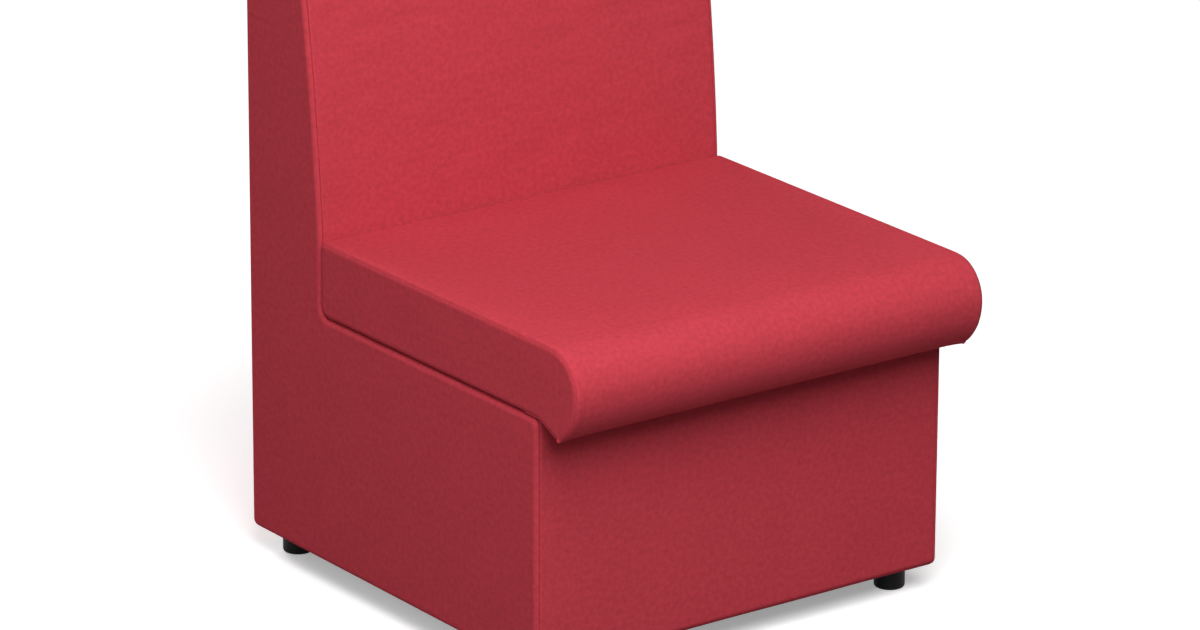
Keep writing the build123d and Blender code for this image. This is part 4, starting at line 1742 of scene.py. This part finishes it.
@dataclass
class Foot:
    """A moulded screw-in foot, turned about its axis, with a rounded lower edge and a hollow underside."""

    corner: str
    plastic: Material
    edge: float = 3.2 * MM
    shoulder: float = 1.0 * MM
    hollow_share: float = 0.6
    hollow: float = 1.5 * MM
    sides: int = 72

    def profile(self, radius: float, low: float, high: float, bore: float, bottom: float) -> Array:
        """Half section from the middle of the underside, round the outside, to the bottom of the bore.

        Args:
            radius: Outer radius.
            low: Height of the underside.
            high: Height of the top.
            bore: Radius of the bore for the stem.
            bottom: Height of the bottom of the bore.

        Returns:
            Radius and height of each point.
        """
        inner = radius * self.hollow_share
        corners = np.array([
            (0, low + self.hollow), (inner - self.hollow, low + self.hollow), (inner, low), (radius, low),
            (radius, high), (bore, high), (bore, bottom), (0, bottom),
        ])
        radii = (0, 0.8 * MM, 0.6 * MM, self.edge, self.shoulder, 0.3 * MM, 0, 0)
        return spread(round_path(corners, radii), 3 * MM, math.radians(12))

    def build(self) -> None:
        """Makes the foot round the place of its solid, on a body of its own."""
        node = "foot_" + self.corner
        low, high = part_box(node)
        stem_low, stem_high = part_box("foot_stem_" + self.corner)
        middle = (low + high) / 2
        half = self.profile((high.x - low.x) / 2, low.z, high.z, (stem_high.x - stem_low.x) / 2, stem_low.z)
        turn = np.linspace(0, 2 * math.pi, self.sides, endpoint=False)
        radius, height = half[:, :1], np.repeat(half[:, 1:], self.sides, axis=1)
        points = np.dstack([middle.x + radius * np.cos(turn), middle.y + radius * np.sin(turn), height])
        quads = grid_quads(*height.shape, closed=True)
        piece = mesh_piece(node + "_moulding", points.reshape(-1, 3), quads)
        clean(piece)
        face_outwards(piece, (middle.x, middle.y, middle.z - (high.z - low.z) / 4))
        stand_in(piece, self.plastic, node, body=node)


# Room, light and camera

@dataclass(frozen=True)
class Lamp:
    """A square soft lamp, out of the camera's sight."""

    name: str
    place: Place
    target: Place
    size: float
    power: float

    def hang(self) -> None:
        """Hangs the lamp so that it faces its target."""
        data = bpy.data.lights.new(self.name, "AREA")
        data.shape = "SQUARE"
        data.size = self.size
        data.energy = self.power
        lamp = bpy.data.objects.new(self.name, data)
        lamp.location = self.place
        lamp.rotation_mode = "QUATERNION"
        lamp.rotation_quaternion = (Vector(self.target) - Vector(self.place)).to_track_quat("-Z", "Y")
        lamp.visible_camera = False
        bpy.context.scene.collection.objects.link(lamp)


@dataclass(frozen=True)
class Studio:
    """A pale floor that fades to white, soft lamps and the photograph's camera."""

    lamps: tuple[Lamp, ...] = (
        Lamp("key", (-0.8, -2.02, 2.77), (0.0, -0.1, 0.45), 2.4, 112.0),
        Lamp("front_left", (-1.6, -2.1, 1.5), (0.0, 0.0, 0.4), 1.4, 6.2),
        Lamp("left", (-2.6, -0.2, 1.3), (0.0, 0.0, 0.3), 1.6, 13.0),
        Lamp("right", (2.6, 0.3, 1.4), (0.0, 0.0, 0.3), 1.6, 5.2),
        Lamp("rear", (0.0, 3.2, 1.9), (0.0, 0.0, 0.4), 2.0, 70.0),
    )
    floor_size: float = 14.0
    floor_bounce: float = 0.16
    floor_mottle: float = 0.02
    floor_glow: float = 0.31
    floor_fade: tuple[float, float] = (0.9, 2.4)
    sky: float = 0.03
    aim: Place = (-0.02204, -0.00560, 0.34406)
    distance: float = 7.9458
    azimuth: float = math.radians(-36.273)
    elevation: float = math.radians(19.015)
    roll: float = math.radians(0.256)
    lens: float = 198.4
    sensor: float = 36.0
    sight: float = 60.0

    def floor(self) -> None:
        """Lays the floor, which shows the seat's shadow and is otherwise as white as the backdrop.

        The eye sees a pale paint with a little glow, which turns into plain white away from the seat.
        Light that comes from the floor back to the seat meets a duller paint, so that the underside
        stays dark.
        """
        half = self.floor_size / 2
        points = np.array([(-half, -half, 0), (half, -half, 0), (half, half, 0), (-half, half, 0)])
        piece = mesh_piece("floor", points, np.array([[0, 1, 2, 3]]))
        shader = Shader(bpy.data.materials.new("floor_paint"))
        seen, place = shader.seen(), shader.here()
        distance = shader.add("ShaderNodeVectorMath", {"operation": "LENGTH"}, i0=place).outputs["Value"]
        near, far = self.floor_fade
        fade = shader.add("ShaderNodeMapRange", {"interpolation_type": "SMOOTHSTEP"}, Value=distance,
                          From_Min=near, From_Max=far).outputs[0]
        dull = shader.line(shader.noise(place, 3.0), self.floor_mottle, self.floor_bounce)
        paint = shader.math("SUBTRACT", shader.math("SUBTRACT", 1.0, fade), dull)
        white = shader.line(fade, 1 - self.floor_glow, self.floor_glow)
        shader.join(Base_Color=shader.line(seen, paint, dull), Roughness=0.9, Specular_IOR_Level=0.1,
                    Emission_Color=(1, 1, 1, 1), Emission_Strength=shader.math("MULTIPLY", seen, white))
        finish_with(piece, shader.owner)

    def backdrop(self) -> None:
        """Sets a white backdrop for what is seen, and soft even light for the rest."""
        shader = Shader(bpy.data.worlds.new("studio"), "Background")
        strength = shader.add("ShaderNodeMapRange", None, Value=shader.seen(), To_Min=self.sky, To_Max=1.0)
        bpy.context.scene.world = shader.join(Color=(1, 1, 1, 1), Strength=strength.outputs[0])

    def camera(self) -> None:
        """Sets up the camera: it looks from its azimuth and elevation at the aim point."""
        cam = bpy.data.objects.new("camera", bpy.data.cameras.new("camera"))
        cam.data.lens = self.lens
        cam.data.sensor_width = self.sensor
        cam.data.clip_end = self.sight
        back = Vector((
            math.sin(self.azimuth) * math.cos(self.elevation),
            -math.cos(self.azimuth) * math.cos(self.elevation),
            math.sin(self.elevation),
        ))
        turn = (-back).to_track_quat("-Z", "Y").to_matrix().to_4x4() @ Matrix.Rotation(self.roll, 4, "Z")
        cam.matrix_world = Matrix.Translation(Vector(self.aim) + back * self.distance) @ turn
        bpy.context.scene.collection.objects.link(cam)
        bpy.context.scene.camera = cam

    def build(self) -> None:
        """Sets up the room, the lamps and the camera."""
        self.floor()
        self.backdrop()
        for lamp in self.lamps:
            lamp.hang()
        self.camera()
        bpy.context.scene.view_settings.view_transform = "Standard"


def dress_frame(nodes: dict[str, Piece], record: dict[str, Any]) -> None:
    """Gives each rigid solid that stays in sight the finish of its slot.

    Args:
        nodes: The solids' objects by name.
        record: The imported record, which names each solid's slot.
    """
    finishes = (
        WoodFinish("plywood", (0.62, 0.44, 0.25), (0.40, 0.25, 0.12), (0.25, 1.0, 0.06)),
        WoodFinish("softwood", (0.72, 0.52, 0.30), (0.50, 0.31, 0.15), (0.05, 1.0, 1.0)),
        SteelFinish("zinc_steel"),
    )
    materials = {finish.name: finish.material() for finish in finishes}
    slots = {row["node"]: row["material_slot"] for row in record["subparts"]}
    for name, node in nodes.items():
        if slots[name] in materials:
            finish_with(node, materials[slots[name]])


def main() -> None:
    """Builds the dressed seat and reports each part of it."""
    logging.basicConfig(level=logging.INFO, format="%(name)s: %(message)s")
    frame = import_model()
    sizes = SeatSizes.from_frame()
    dress_frame(frame["nodes"], frame["record"])
    red = ClothFinish("red_cloth", (0.553, 0.0523, 0.0727)).material()
    body, cushion = Body(sizes, red), Cushion(sizes, red)
    body.build()
    cushion.build()
    foam = FoamFinish("seat_foam_cells", (0.80, 0.76, 0.58), 0.9 * MM).material()
    wadding = FoamFinish("wadding_fleece", (0.86, 0.86, 0.84), 2.2 * MM).material()
    Padding(body, cushion, foam, wadding).build()
    DustCover(LiningFinish("dust_cover_lining").material()).build()
    plastic = PlasticFinish("foot_plastic").material()
    for corner in ("front_left", "front_right", "rear_left", "rear_right"):
        Foot(corner, plastic).build()
    Studio().build()


if __name__ == "__main__":
    main()
